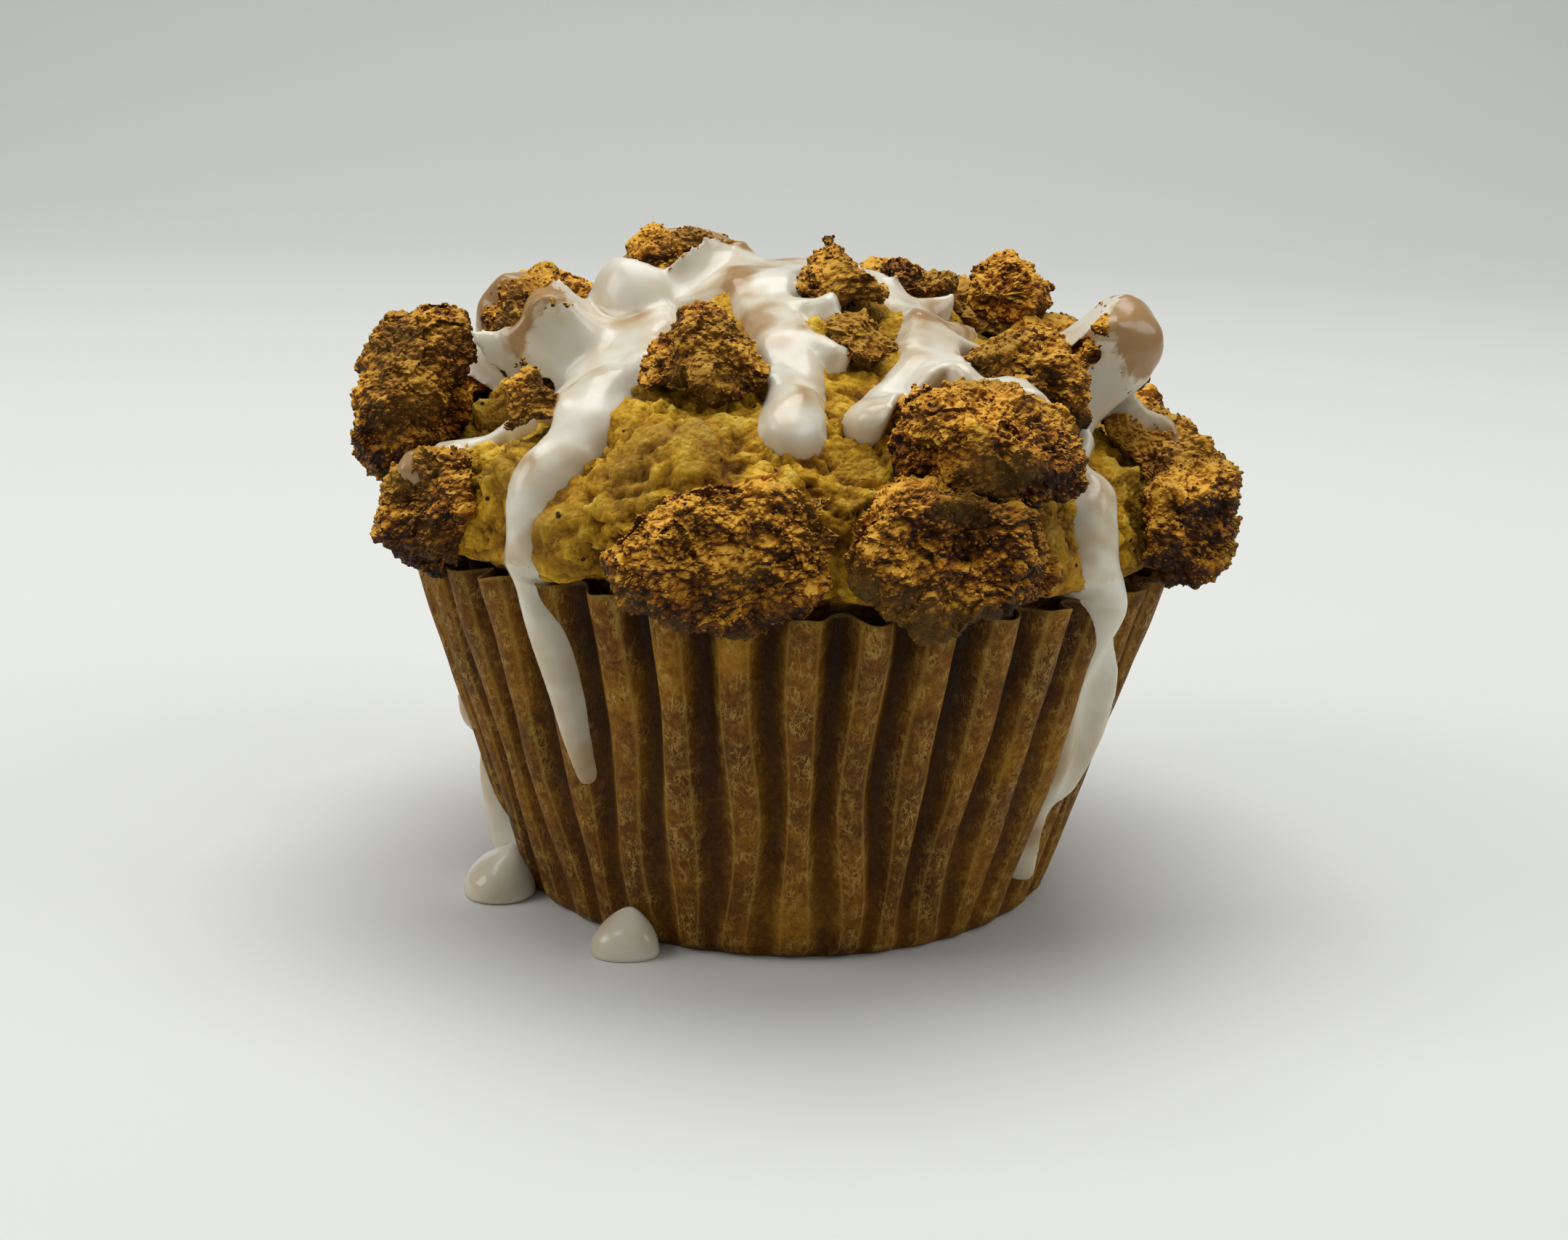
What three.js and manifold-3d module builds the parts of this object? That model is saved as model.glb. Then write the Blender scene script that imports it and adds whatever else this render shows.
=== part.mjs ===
// An iced streusel muffin in its pleated paper case, about 78 mm across and 61 mm tall.
// Millimetres, +Z up. The origin is the middle of the case's flat base, and -Y is the front,
// the side with the two long drips of icing. Azimuths run from the front towards +X.

import * as THREE from 'three';
import { mergeVertices } from 'three/addons/utils/BufferGeometryUtils.js';
import Module from 'manifold-3d';

const wasm = await Module();
wasm.setup();

// Driving dimensions, in millimetres
const CASE_HEIGHT = 32.3;
const CREST_BASE_RADIUS = 25.2;
const CREST_RIM_RADIUS = 35.3;
const PLEATS = 38;
const PLEAT_DEPTH_RIM = 2.8;
const PLEAT_DEPTH_BASE = 0.5;
const PLEAT_TURN = THREE.MathUtils.degToRad(2.3);
const PAPER = 0.3;
const FOOT = 1;
const SOLE_RADIUS = CREST_BASE_RADIUS - 0.9;
const CAKE_RADIUS = 35.6;
const DOME_HEIGHT = 17;
const LUMP_HEIGHT = 1.1;
const LUMP_SIZE = 5.5;
const ICING_THICKNESS = 1.7;
const GAP = 0.3;
const CLEARANCE = 0.42;

// All icing directions are taken from this point inside the cake.
const HEART = new THREE.Vector3(0, 0, 25);

// A number from -1 to 1 for a lattice point, the same on every run.
function hash(x, y, z, seed) {
  let h = Math.imul(x, 73856093) ^ Math.imul(y, 19349663) ^ Math.imul(z, 83492791);
  h = Math.imul(h ^ Math.imul(seed, 2654435761), 1274126177);
  h ^= h >>> 13;
  h = Math.imul(h, 1911520717);
  h ^= h >>> 16;
  return (h >>> 0) / 2147483648 - 1;
}

// Smooth lattice noise from -1 to 1.
function noise(p, seed) {
  const cell = [Math.floor(p.x), Math.floor(p.y), Math.floor(p.z)];
  const within = [p.x - cell[0], p.y - cell[1], p.z - cell[2]];
  const ease = within.map((t) => t * t * (3 - 2 * t));
  let sum = 0;
  for (let corner = 0; corner < 8; corner++) {
    const step = [corner & 1, (corner >> 1) & 1, corner >> 2];
    const weight = step.reduce((w, s, k) => w * (s ? ease[k] : 1 - ease[k]), 1);
    sum += weight * hash(cell[0] + step[0], cell[1] + step[1], cell[2] + step[2], seed);
  }
  return sum;
}

const share = (index, seed) => 0.5 + 0.5 * hash(index, seed, 7, 1);
const around = (radius, azimuth, z) =>
  new THREE.Vector3(radius * Math.sin(azimuth), -radius * Math.cos(azimuth), z);

// Solids

function geometryFrom(points, triangles) {
  const geometry = new THREE.BufferGeometry();
  const numbers = points.flatMap((p) => [p.x, p.y, p.z]);
  geometry.setAttribute('position', new THREE.Float32BufferAttribute(numbers, 3));
  geometry.setIndex(triangles.flat());
  return geometry;
}

function solidOf(geometry) {
  const bare = geometry.clone();
  bare.deleteAttribute('normal');
  bare.deleteAttribute('uv');
  const merged = mergeVertices(bare, 1e-4);
  const mesh = new wasm.Mesh({
    numProp: 3,
    vertProperties: merged.attributes.position.array,
    triVerts: new Uint32Array(merged.index.array),
  });
  return new wasm.Manifold(mesh);
}

// The largest piece of a cut solid, without the scraps that cutting leaves.
function largestOf(solid) {
  return solid.decompose().reduce((best, piece) => (piece.volume() > best.volume() ? piece : best));
}

const cut = (solid, tools) => tools.reduce((left, tool) => left.subtract(tool), solid);

function meshOf(name, solid, material) {
  const { vertProperties, triVerts, numProp } = solid.getMesh();
  const points = [];
  for (let i = 0; i < vertProperties.length; i += numProp) {
    points.push(new THREE.Vector3(vertProperties[i], vertProperties[i + 1], vertProperties[i + 2]));
  }
  const mesh = new THREE.Mesh(geometryFrom(points, [Array.from(triVerts)]), material);
  mesh.geometry.computeVertexNormals();
  mesh.name = name;
  return mesh;
}

// A closed surface of rings, from one pole to the other. ringPoint(row, column) gives each point.
// From the row crossFrom on, the squares are split along their other diagonal.
function ringSurface(rows, columns, firstPole, lastPole, ringPoint, crossFrom = rows) {
  const points = [firstPole];
  for (let row = 0; row < rows; row++) {
    for (let column = 0; column < columns; column++) points.push(ringPoint(row, column));
  }
  points.push(lastPole);
  const at = (row, column) => 1 + row * columns + (column % columns);
  const triangles = [];
  for (let column = 0; column < columns; column++) {
    triangles.push([0, at(0, column + 1), at(0, column)]);
    for (let row = 0; row < rows - 1; row++) {
      const [a, b] = [at(row, column), at(row, column + 1)];
      const [c, d] = [at(row + 1, column + 1), at(row + 1, column)];
      if (row < crossFrom) triangles.push([a, b, c], [a, c, d]);
      else triangles.push([a, b, d], [b, c, d]);
    }
    triangles.push([points.length - 1, at(rows - 1, column), at(rows - 1, column + 1)]);
  }
  return geometryFrom(points, triangles);
}

// The paper case

// The rim stands a little higher on the left of the front.
function rimHeight(azimuth) {
  const fromHigh = Math.atan2(Math.sin(azimuth + 0.55), Math.cos(azimuth + 0.55));
  return CASE_HEIGHT + 1.5 * Math.exp(-((fromHigh / 0.5) ** 2)) + 0.3 * Math.sin(3 * azimuth + 1);
}

const crestRadius = (z) => THREE.MathUtils.lerp(CREST_BASE_RADIUS, CREST_RIM_RADIUS, z / CASE_HEIGHT);
const pleatDepth = (z) => THREE.MathUtils.lerp(PLEAT_DEPTH_BASE, PLEAT_DEPTH_RIM, z / CASE_HEIGHT);
const valleyRadius = (z) => crestRadius(z) - pleatDepth(z);

// Each pleat has two crest corners and two valley corners, at these shares of its width.
const PLEAT_CORNERS = [-0.24, 0.24, 0.38, 0.62];
const SIDE_SHARE = 0.7;

function pleatColumn(column) {
  const pleat = Math.floor(column / 4);
  const corner = column % 4;
  const wander = 0.1 * (share(pleat, 3) - 0.5);
  const azimuth = PLEAT_TURN + ((pleat + PLEAT_CORNERS[corner] + wander) * 2 * Math.PI) / PLEATS;
  const side = corner === 1 || corner === 2 ? -1 : 1;
  return { azimuth, side, valley: corner > 1, fold: 0.82 + 0.18 * share(pleat, 4) };
}

// A corner of the wall, moved inwards and, so that a pleat's sides keep their thickness, sideways.
function wallPoint(column, z, inwards) {
  const { azimuth, side, valley, fold } = pleatColumn(column);
  const height = z * (rimHeight(azimuth) / CASE_HEIGHT);
  const crest = crestRadius(z) - (1 - fold) * pleatDepth(z);
  const sideways = (side * SIDE_SHARE * inwards) / crestRadius(z);
  return around((valley ? valleyRadius(z) : crest) - inwards, azimuth + sideways, height);
}

function caseGeometry() {
  const outerHeights = [FOOT, CASE_HEIGHT];
  const innerHeights = [CASE_HEIGHT, FOOT];
  const rows = [
    (column) => around(SOLE_RADIUS, pleatColumn(column).azimuth, 0),
    ...outerHeights.map((z) => (column) => wallPoint(column, z, 0)),
    ...innerHeights.map((z) => (column) => wallPoint(column, z, PAPER)),
    (column) => around(SOLE_RADIUS - PAPER, pleatColumn(column).azimuth, PAPER),
  ];
  const pole = new THREE.Vector3(0, 0, 0);
  const innerPole = new THREE.Vector3(0, 0, PAPER);
  const ringPoint = (row, column) => rows[row](column);
  return ringSurface(rows.length, 4 * PLEATS, pole, innerPole, ringPoint, 1 + outerHeights.length);
}

// A filled block a little larger than the case, which cuts whatever lies on the case.
function caseBlock() {
  const rows = [-1, CASE_HEIGHT].map((z) => (column) => {
    const point = wallPoint(column, z, -CLEARANCE);
    if (z > 0) point.z += CLEARANCE;
    return point;
  });
  const low = new THREE.Vector3(0, 0, -1);
  const high = new THREE.Vector3(0, 0, CASE_HEIGHT + CLEARANCE);
  return ringSurface(2, 4 * PLEATS, low, high, (row, column) => rows[row](column));
}

// The cake

// The lobes of batter that rose between the crumbs: middle, reach and height.
const LOBES = [
  { at: [0, 0, 51], reach: 15, height: 5.2 },
  { at: [-9, -28, 40.5], reach: 8, height: 4.4 },
  { at: [-15, -31, 36.5], reach: 5, height: 1.6 },
  { at: [-22, -24, 42], reach: 5.5, height: 2.6 },
  { at: [3, -30, 41], reach: 5, height: 1.6 },
  { at: [28, -20, 42], reach: 5, height: 2.4 },
  { at: [22, 22, 43], reach: 7, height: 3 },
  { at: [-18, 26, 42], reach: 7, height: 3 },
];

const CAKE_COLUMNS = 44;
const DOME_ROWS = 10;

// Moves a point of the smooth dome out to the lumpy surface.
function lumpy(point, grow) {
  const outwards = point.clone().sub(HEART).normalize();
  let rise = LUMP_HEIGHT * noise(point.clone().divideScalar(LUMP_SIZE), 11);
  for (const lobe of LOBES) {
    const distance = point.distanceTo(new THREE.Vector3(...lobe.at));
    rise += lobe.height * Math.exp(-((distance / lobe.reach) ** 2));
  }
  return point.clone().addScaledVector(outwards, rise + grow);
}

function cakeGeometry(grow) {
  const wallRadius = (z) => valleyRadius(z) - PAPER - GAP + grow;
  const floor = PAPER + GAP - grow;
  const topRing = (azimuth, turn) => {
    const radius = CAKE_RADIUS * Math.cos(turn) ** 0.8;
    return around(radius, azimuth, rimHeight(azimuth) + 1.6 + DOME_HEIGHT * Math.sin(turn) ** 1.3);
  };
  const ringPoint = (row, column) => {
    const azimuth = (column * 2 * Math.PI) / CAKE_COLUMNS;
    if (row === 0) return around(SOLE_RADIUS - PAPER - GAP + grow, azimuth, floor);
    if (row === 1) return around(wallRadius(FOOT) - GAP, azimuth, FOOT + GAP);
    if (row === 2) return around(wallRadius(CASE_HEIGHT), azimuth, rimHeight(azimuth) + GAP + 0.1 - grow);
    if (row === 3) return around(CAKE_RADIUS - 1.6 + grow, azimuth, rimHeight(azimuth) + GAP + 0.2 - grow);
    const turn = ((row - 4) / DOME_ROWS) * (Math.PI / 2);
    const edge = Math.min(1, (row - 4) / 2);
    const smooth = topRing(azimuth, turn);
    return smooth.lerp(lumpy(smooth, grow), edge);
  };
  const top = lumpy(new THREE.Vector3(0, 0, CASE_HEIGHT + 1.6 + DOME_HEIGHT), grow);
  const bottom = new THREE.Vector3(0, 0, floor);
  return ringSurface(4 + DOME_ROWS, CAKE_COLUMNS, bottom, top, ringPoint);
}

// The streusel crumbs

// A crumb is a broken chunk: its middle, its half sizes, its turn about the vertical and its lean
// to the right, both in degrees. Crumbs that come first keep their shape where two would meet.
const FRONT_CRUMBS = [
  { name: 'front_left', at: [-6, -33.4, 38], half: [8.9, 6.2, 5.7], yaw: 0, lean: -4 },
  { name: 'front_high', at: [14.8, -27.5, 45.8], half: [8.4, 6.4, 5.1], yaw: 14, lean: 18 },
  { name: 'front_low', at: [11.6, -30.6, 38], half: [9.6, 6.8, 6.2], yaw: 20, lean: -4 },
  { name: 'left_outer', at: [-33.2, -8, 45.7], half: [4.9, 6.6, 8.4], yaw: -10, lean: 18 },
  { name: 'left_rim', at: [-29.2, -18.5, 37.2], half: [6.4, 5.8, 6], yaw: -30, lean: 0 },
  { name: 'right_outer', at: [34, -14.5, 37.4], half: [5, 6.1, 6.1], yaw: 25, lean: 6 },
  { name: 'centre', at: [-7.7, -20.5, 48.2], half: [4.9, 5.4, 7.2], yaw: 0, lean: 6 },
  { name: 'left_top', at: [-22.4, -6, 51.4], half: [4, 4.9, 4.5], yaw: 10, lean: 10 },
  { name: 'right_middle', at: [19.2, -15, 49.4], half: [6.2, 5.4, 4.8], yaw: 0, lean: 8 },
  { name: 'right_top', at: [27.6, -5, 50.4], half: [3.6, 4.3, 4.4], yaw: 0, lean: 8 },
  { name: 'peak', at: [-10.2, 1, 56.8], half: [5.1, 5, 3.6], yaw: 20, lean: -5 },
  { name: 'top_middle', at: [3.7, -6, 52.4], half: [4.3, 4.8, 6.4], yaw: 0, lean: -10 },
  { name: 'below_top', at: [5.8, -14, 48.4], half: [4.2, 4.2, 6], yaw: 0, lean: 0 },
  { name: 'top_right', at: [19.6, 6, 54.6], half: [4.2, 4.2, 3.3], yaw: 0, lean: 0 },
  { name: 'small_left', at: [-21.2, -21.5, 46.4], half: [2.7, 2.8, 3.6], yaw: 0, lean: 0 },
  { name: 'small_top', at: [10, 4.5, 54.6], half: [2.2, 2.6, 2.1], yaw: 0, lean: 0 },
  { name: 'right_slope', at: [30.8, -3, 41.3], half: [5.1, 5.5, 4.1], yaw: 20, lean: 20 },
];

// The side away from the long drips carries the same sort of crumbs, in rings up the dome.
const CRUMB_RINGS = [
  { name: 'rim', count: 6, from: 104, step: 30, radius: 33.4, z: 39.6, half: 6.6 },
  { name: 'shoulder', count: 5, from: 100, step: 37, radius: 24.6, z: 48.2, half: 5.7 },
  { name: 'crown', count: 2, from: 140, step: 70, radius: 16.5, z: 51, half: 4.5 },
];

function ringCrumb(ring, index) {
  const vary = (seed) => share(index, ring.count * 10 + seed) - 0.5;
  const azimuth = THREE.MathUtils.degToRad(ring.from + ring.step * (index + 0.3 * vary(1)));
  const place = around(ring.radius + 2 * vary(2), azimuth, ring.z + 2.4 * vary(3));
  const half = [1.25, 0.95, 1].map((k, axis) => ring.half * k * (1 + 0.3 * vary(4 + axis)));
  const yaw = THREE.MathUtils.radToDeg(azimuth) + 50 * vary(8);
  return { name: `${ring.name}_${index + 1}`, at: place.toArray(), half, yaw, lean: 40 * vary(9) };
}

const CRUMBS = [
  ...FRONT_CRUMBS,
  ...CRUMB_RINGS.flatMap((ring) => Array.from({ length: ring.count }, (_, i) => ringCrumb(ring, i))),
];

const FACETS = 11;
const FACET_EDGE = 12;
const FACET_SHIFT = 0.32;
const CRUMB_BUMP = 0.1;
const FINE_CRUMB = 6.3;

// The flat faces a chunk broke along, spread evenly over all directions.
function facetsOf(seed) {
  return Array.from({ length: FACETS }, (_, k) => {
    const z = 1 - (2 * k + 1) / FACETS;
    const azimuth = k * 2.4 + 6.28 * share(seed, 21);
    const flat = Math.sqrt(1 - z * z);
    const normal = new THREE.Vector3(flat * Math.cos(azimuth), flat * Math.sin(azimuth), z);
    const shift = new THREE.Vector3(hash(k, seed, 1, 5), hash(k, seed, 2, 5), hash(k, seed, 3, 5));
    const reach = 0.8 + 0.24 * share(k, seed + 40);
    return { normal: normal.addScaledVector(shift, FACET_SHIFT).normalize(), reach };
  });
}

function crumbGeometry(crumb, seed, grow) {
  const fine = Math.max(...crumb.half) > FINE_CRUMB && seed < FRONT_CRUMBS.length;
  const geometry = new THREE.IcosahedronGeometry(1, fine ? 2 : 1);
  const facets = facetsOf(seed);
  const [lean, yaw] = [crumb.lean, crumb.yaw].map(THREE.MathUtils.degToRad);
  const turn = new THREE.Euler(0, lean, yaw, 'ZYX');
  const position = geometry.attributes.position;
  for (let i = 0; i < position.count; i++) {
    const direction = new THREE.Vector3().fromBufferAttribute(position, i).normalize();
    const pulls = facets.map((facet) => Math.max(0, direction.dot(facet.normal) / facet.reach));
    const pull = pulls.reduce((sum, value) => sum + value ** FACET_EDGE, 0);
    const bump = 1 + CRUMB_BUMP * noise(direction.clone().multiplyScalar(2.6), seed);
    const reach = bump * pull ** (-1 / FACET_EDGE);
    const size = new THREE.Vector3(...crumb.half).addScalar(grow);
    const point = direction.multiplyScalar(reach).multiply(size).applyEuler(turn);
    position.setXYZ(i, ...point.add(new THREE.Vector3(...crumb.at)).toArray());
  }
  return geometry;
}

// The icing

// Each stream runs through stations: azimuth and elevation seen from the heart, in degrees, and
// half its width in millimetres.
const STREAMS = {
  leftDrip: [[-39, 43, 2.8], [-35, 34, 2.5], [-36, 29, 2.2], [-37, 24, 1.85], [-37, 19, 1.8],
    [-38.5, 13, 1.9], [-36, 6, 1.75], [-35, 0, 1.5], [-34.5, -9, 1.15], [-34, -18, 0.75]],
  leftBranch: [[-60, 49, 1.9], [-52, 42, 1.6], [-53, 38, 1.4], [-60, 33, 1.3], [-63, 28, 1.1]],
  leftSaddle: [[-62, 46, 1.4], [-68, 43, 2.2], [-76, 40, 1.7]],
  centreLeft: [[-88, 62, 2.2], [-67, 57, 3], [-58, 52, 3.6], [-46, 47, 3.6], [-39, 43, 3.1]],
  top: [[-80, 62, 2], [-71, 68, 2.4], [-68, 74, 2.8], [-70, 80, 3], [-60, 86, 3], [150, 80, 2.6]],
  centreDrip: [[-40, 86, 3], [-24, 76, 3.2], [-9, 66, 2.7], [-3, 58, 2.7], [0, 50, 2.5], [0, 43, 2.6],
    [0, 38, 2.9]],
  rightPatch: [[130, 80, 2.4], [95, 73, 2.4], [78, 67, 3], [52, 61, 3], [36, 55, 2.4]],
  rightBulb: [[52, 58.5, 2], [37, 53, 2.3], [27, 49, 2.2], [18.5, 45, 2.1], [14, 41, 2.3]],
  overHigh: [[37, 52, 2.2], [38, 47, 1.6], [36, 42, 1.4], [38, 38.5, 1.3], [41, 35, 1.2], [47, 33, 1.1]],
  rightLink: [[48, 59, 2], [60, 55.5, 1.7], [72, 52.5, 1.5], [82, 50, 1.6], [77, 46, 1.2]],
  rightCrumb: [[78, 47, 2.4], [72, 43, 3.1], [70, 39, 2.6], [68, 36, 1.7], [58, 33, 1.2]],
  rightDrip: [[60, 33.5, 1.3], [54, 30.5, 0.9], [52, 27, 1.5], [49, 22.5, 2.1], [48, 17, 2.15], [51, 11, 1.9],
    [56, 0, 1.6], [57, -14, 1.65], [57, -21, 1.3], [56.5, -31, 0.75], [56, -38, 0.9]],
  farDrip: [[-112, 70, 2.2], [-104, 58, 2], [-106, 42, 1.7], [-104, 22, 1.5], [-98, 6, 1.2], [-90, -10, 1],
    [-80, -22, 0.95], [-75.5, -30, 1], [-74, -37, 1.4]],
  backLeft: [[-110, 76, 2.6], [-128, 60, 2.5], [-136, 44, 2.2], [-139, 28, 1.8], [-140, 13, 1.3]],
  backRight: [[150, 80, 2.8], [164, 62, 2.6], [171, 46, 2.2], [170, 30, 2], [168, 14, 1.6], [167, -2, 1.2],
    [167, -13, 0.8]],
};

// The two spots where icing ran off the case and set on the table: middle and half sizes.
const POOLS = [
  { name: 'icing_pool_left', at: [-25.4, -10.6], half: [3.4, 4.4, 4.6] },
  { name: 'icing_pool_front', at: [-13.3, -24.4], half: [2.7, 2.5, 4.2] },
];

const STREAM_STEP = 4.6;
const SECTION = [-1, 0, 1];
const STREAM_RADIUS = 34;
const RAY_START = 90;
const PULL = 0.8;
const PULL_PASSES = 3;
const ROOT_DEPTH = 1.6;
const SCRAP_VOLUME = 10;

function directionOf([azimuth, elevation]) {
  const rise = THREE.MathUtils.degToRad(elevation);
  return around(Math.cos(rise), THREE.MathUtils.degToRad(azimuth), Math.sin(rise));
}

// The farthest reach of the cake, crumbs and case along a direction from the heart.
function reachAlong(direction, underlying) {
  const start = HEART.clone().addScaledVector(direction, RAY_START);
  const [hit] = new THREE.Raycaster(start, direction.clone().negate()).intersectObjects(underlying);
  return RAY_START - hit.distance;
}

// Pulls the icing taut over narrow gaps, along the stream and across it.
function tautened(reach) {
  let taut = reach;
  for (let pass = 0; pass < PULL_PASSES; pass++) {
    taut = taut.map((row, i) => row.map((value, j) => {
      const along = i > 0 && i < taut.length - 1 ? (taut[i - 1][j] + taut[i + 1][j]) / 2 : value;
      const across = j > 0 && j < row.length - 1 ? (row[j - 1] + row[j + 1]) / 2 : value;
      return THREE.MathUtils.lerp(value, Math.max(value, along, across), PULL);
    }));
  }
  return taut;
}

// One stream as a closed strip: its top lies on the taut surface and its underside is sunk in.
function streamGeometry(stations, underlying) {
  const middles = stations.map((station) => directionOf(station));
  const path = new THREE.CatmullRomCurve3(middles.map((d) => d.clone().multiplyScalar(STREAM_RADIUS)));
  const halfWidths = stations.map((station, i) => new THREE.Vector2(i, station[2]));
  const widths = new THREE.SplineCurve(halfWidths);
  const count = Math.max(4, Math.round(path.getLength() / STREAM_STEP));
  const rows = Array.from({ length: count + 1 }, (_, i) => {
    const place = path.getPoint(i / count);
    const outwards = place.clone().normalize();
    const across = path.getTangent(i / count).cross(outwards).normalize();
    const half = Math.max(0.5, widths.getPoint(i / count).y);
    const surface = outwards.multiplyScalar(reachAlong(outwards, underlying));
    const sides = SECTION.map((s) => surface.clone().addScaledVector(across, s * half).normalize());
    return { half, sides };
  });
  const reach = tautened(rows.map((row) => row.sides.map((side) => reachAlong(side, underlying))));
  const point = (i, j, rise) => HEART.clone().addScaledVector(rows[i].sides[j], reach[i][j] + rise);
  const ringPoint = (i, column) => {
    if (column > 2) return point(i, column === 3 ? 2 : 0, -ROOT_DEPTH);
    const thickness = Math.min(ICING_THICKNESS, rows[i].half);
    return point(i, column, thickness * (column === 1 ? 1 : 0.5));
  };
  const end = (i, beyond) => {
    const middle = ringPoint(i, 1);
    const onwards = middle.clone().sub(ringPoint(beyond, 1)).normalize();
    const inwards = HEART.clone().sub(middle).normalize();
    return middle.addScaledVector(onwards, 0.6 * rows[i].half).addScaledVector(inwards, ICING_THICKNESS);
  };
  return ringSurface(count + 1, 5, end(0, 1), end(count, count - 1), ringPoint);
}

// A pool is a low mound with a flat underside on the table.
function poolGeometry(pool) {
  const outline = [[0.96, 0], [1, 0.12], [0.86, 0.36], [0.58, 0.66], [0.26, 0.92]];
  const [x, y] = pool.at;
  const ringPoint = (row, column) => {
    const [spread, rise] = outline[row];
    const swell = spread * (1 + 0.12 * Math.sin(2.4 * column));
    const turn = (column * 2 * Math.PI) / 10;
    const side = around(swell, turn, rise * pool.half[2]);
    return new THREE.Vector3(x + side.x * pool.half[0], y + side.y * pool.half[1], side.z);
  };
  const top = new THREE.Vector3(x, y, pool.half[2]);
  return ringSurface(outline.length, 10, new THREE.Vector3(x, y, 0), top, ringPoint);
}

// Materials

const paper = new THREE.MeshStandardMaterial({ color: 0x8a6331, roughness: 0.75 });
const sponge = new THREE.MeshStandardMaterial({ color: 0x9a7a2e, roughness: 0.9 });
const streusel = new THREE.MeshStandardMaterial({ color: 0xa8692a, roughness: 0.85 });
const glaze = new THREE.MeshStandardMaterial({ color: 0xe6e3d8, roughness: 0.3 });

// The muffin

const block = solidOf(caseBlock());
const grownCrumbs = CRUMBS.map((crumb, seed) => solidOf(crumbGeometry(crumb, seed, CLEARANCE)));
const grownCake = solidOf(cakeGeometry(CLEARANCE));
const crumbSolids = CRUMBS.map((crumb, seed) => {
  const near = grownCrumbs.slice(0, seed);
  return largestOf(cut(solidOf(crumbGeometry(crumb, seed, 0)), [...near, grownCake, block]));
});

const muffin = new THREE.Group();
muffin.name = 'muffin';
muffin.add(meshOf('paper_case', solidOf(caseGeometry()), paper));
muffin.add(meshOf('cake', solidOf(cakeGeometry(0)), sponge));
crumbSolids.forEach((solid, i) => muffin.add(meshOf(`crumb_${CRUMBS[i].name}`, solid, streusel)));

const dry = [...muffin.children];
const streams = Object.values(STREAMS).map((stations) => solidOf(streamGeometry(stations, dry)));
const poured = streams.reduce((all, stream) => all.add(stream));
const runs = cut(poured, [grownCake, block, ...grownCrumbs]).decompose();
const kept = runs.filter((run) => run.volume() > SCRAP_VOLUME).sort((a, b) => b.volume() - a.volume());
kept.forEach((run, i) => muffin.add(meshOf(i === 0 ? 'icing' : `icing_${i + 1}`, run, glaze)));

for (const pool of POOLS) {
  const mound = largestOf(solidOf(poolGeometry(pool)).subtract(block));
  muffin.add(meshOf(pool.name, mound, glaze));
}

export default muffin;
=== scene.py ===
# An iced streusel muffin in a pleated paper case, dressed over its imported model.
# Metres, +Z up, with the origin in the middle of the case's base and -Y as the front.

import math

import bmesh
import bpy
import numpy as np
from mathutils import Matrix, Vector
from mathutils.bvhtree import BVHTree


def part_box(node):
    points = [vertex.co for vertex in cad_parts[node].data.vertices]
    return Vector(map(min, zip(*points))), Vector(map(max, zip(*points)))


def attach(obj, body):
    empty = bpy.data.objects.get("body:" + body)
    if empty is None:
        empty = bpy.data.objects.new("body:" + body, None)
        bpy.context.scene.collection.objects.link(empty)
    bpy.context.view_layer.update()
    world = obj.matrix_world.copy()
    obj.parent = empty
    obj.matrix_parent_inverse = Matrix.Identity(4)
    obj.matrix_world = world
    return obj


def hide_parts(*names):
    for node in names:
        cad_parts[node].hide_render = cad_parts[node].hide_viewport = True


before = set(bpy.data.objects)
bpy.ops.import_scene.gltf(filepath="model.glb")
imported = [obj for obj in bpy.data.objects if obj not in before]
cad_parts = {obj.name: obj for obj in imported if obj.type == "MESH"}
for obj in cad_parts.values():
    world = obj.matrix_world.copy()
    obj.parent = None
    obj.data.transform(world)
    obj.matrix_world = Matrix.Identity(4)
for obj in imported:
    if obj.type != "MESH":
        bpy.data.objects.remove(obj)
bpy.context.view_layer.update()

MM = 0.001

# Driving sizes, the same as the model's
CASE_HEIGHT = 32.3 * MM
CREST_BASE_RADIUS = 25.2 * MM
CREST_RIM_RADIUS = 35.3 * MM
PLEATS = 38
PLEAT_DEPTH_RIM = 2.8 * MM
PLEAT_DEPTH_BASE = 0.5 * MM
PLEAT_TURN = math.radians(2.3)
PAPER = 0.16 * MM
FOOT = 1.0 * MM
SOLE_RADIUS = CREST_BASE_RADIUS - 0.9 * MM
HEART = Vector((0, 0, 25 * MM))


# Meshes

def mesh_piece(name, mesh, material):
    """A finished piece in the row frame, riding on the one body."""
    piece = bpy.data.objects.new(name, mesh)
    bpy.context.scene.collection.objects.link(piece)
    mesh.materials.clear()
    mesh.materials.append(material)
    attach(piece, "root")
    return piece


def surface_mesh(name, points, faces):
    mesh = bpy.data.meshes.new(name)
    mesh.from_pydata([tuple(p) for p in points], [], [tuple(f) for f in faces])
    mesh.update()
    mesh.shade_smooth()
    return mesh


def ring_faces(ring_count, columns):
    """Faces of a closed shape whose points are one pole, then its rings, then the other pole."""
    faces = []
    last = 1 + ring_count * columns
    base = last - columns
    for column in range(columns):
        after = (column + 1) % columns
        faces.append((0, 1 + after, 1 + column))
        for row in range(ring_count - 1):
            a, b = 1 + row * columns, 1 + (row + 1) * columns
            faces.append((a + column, a + after, b + after, b + column))
        faces.append((last, base + column, base + after))
    return faces


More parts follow.
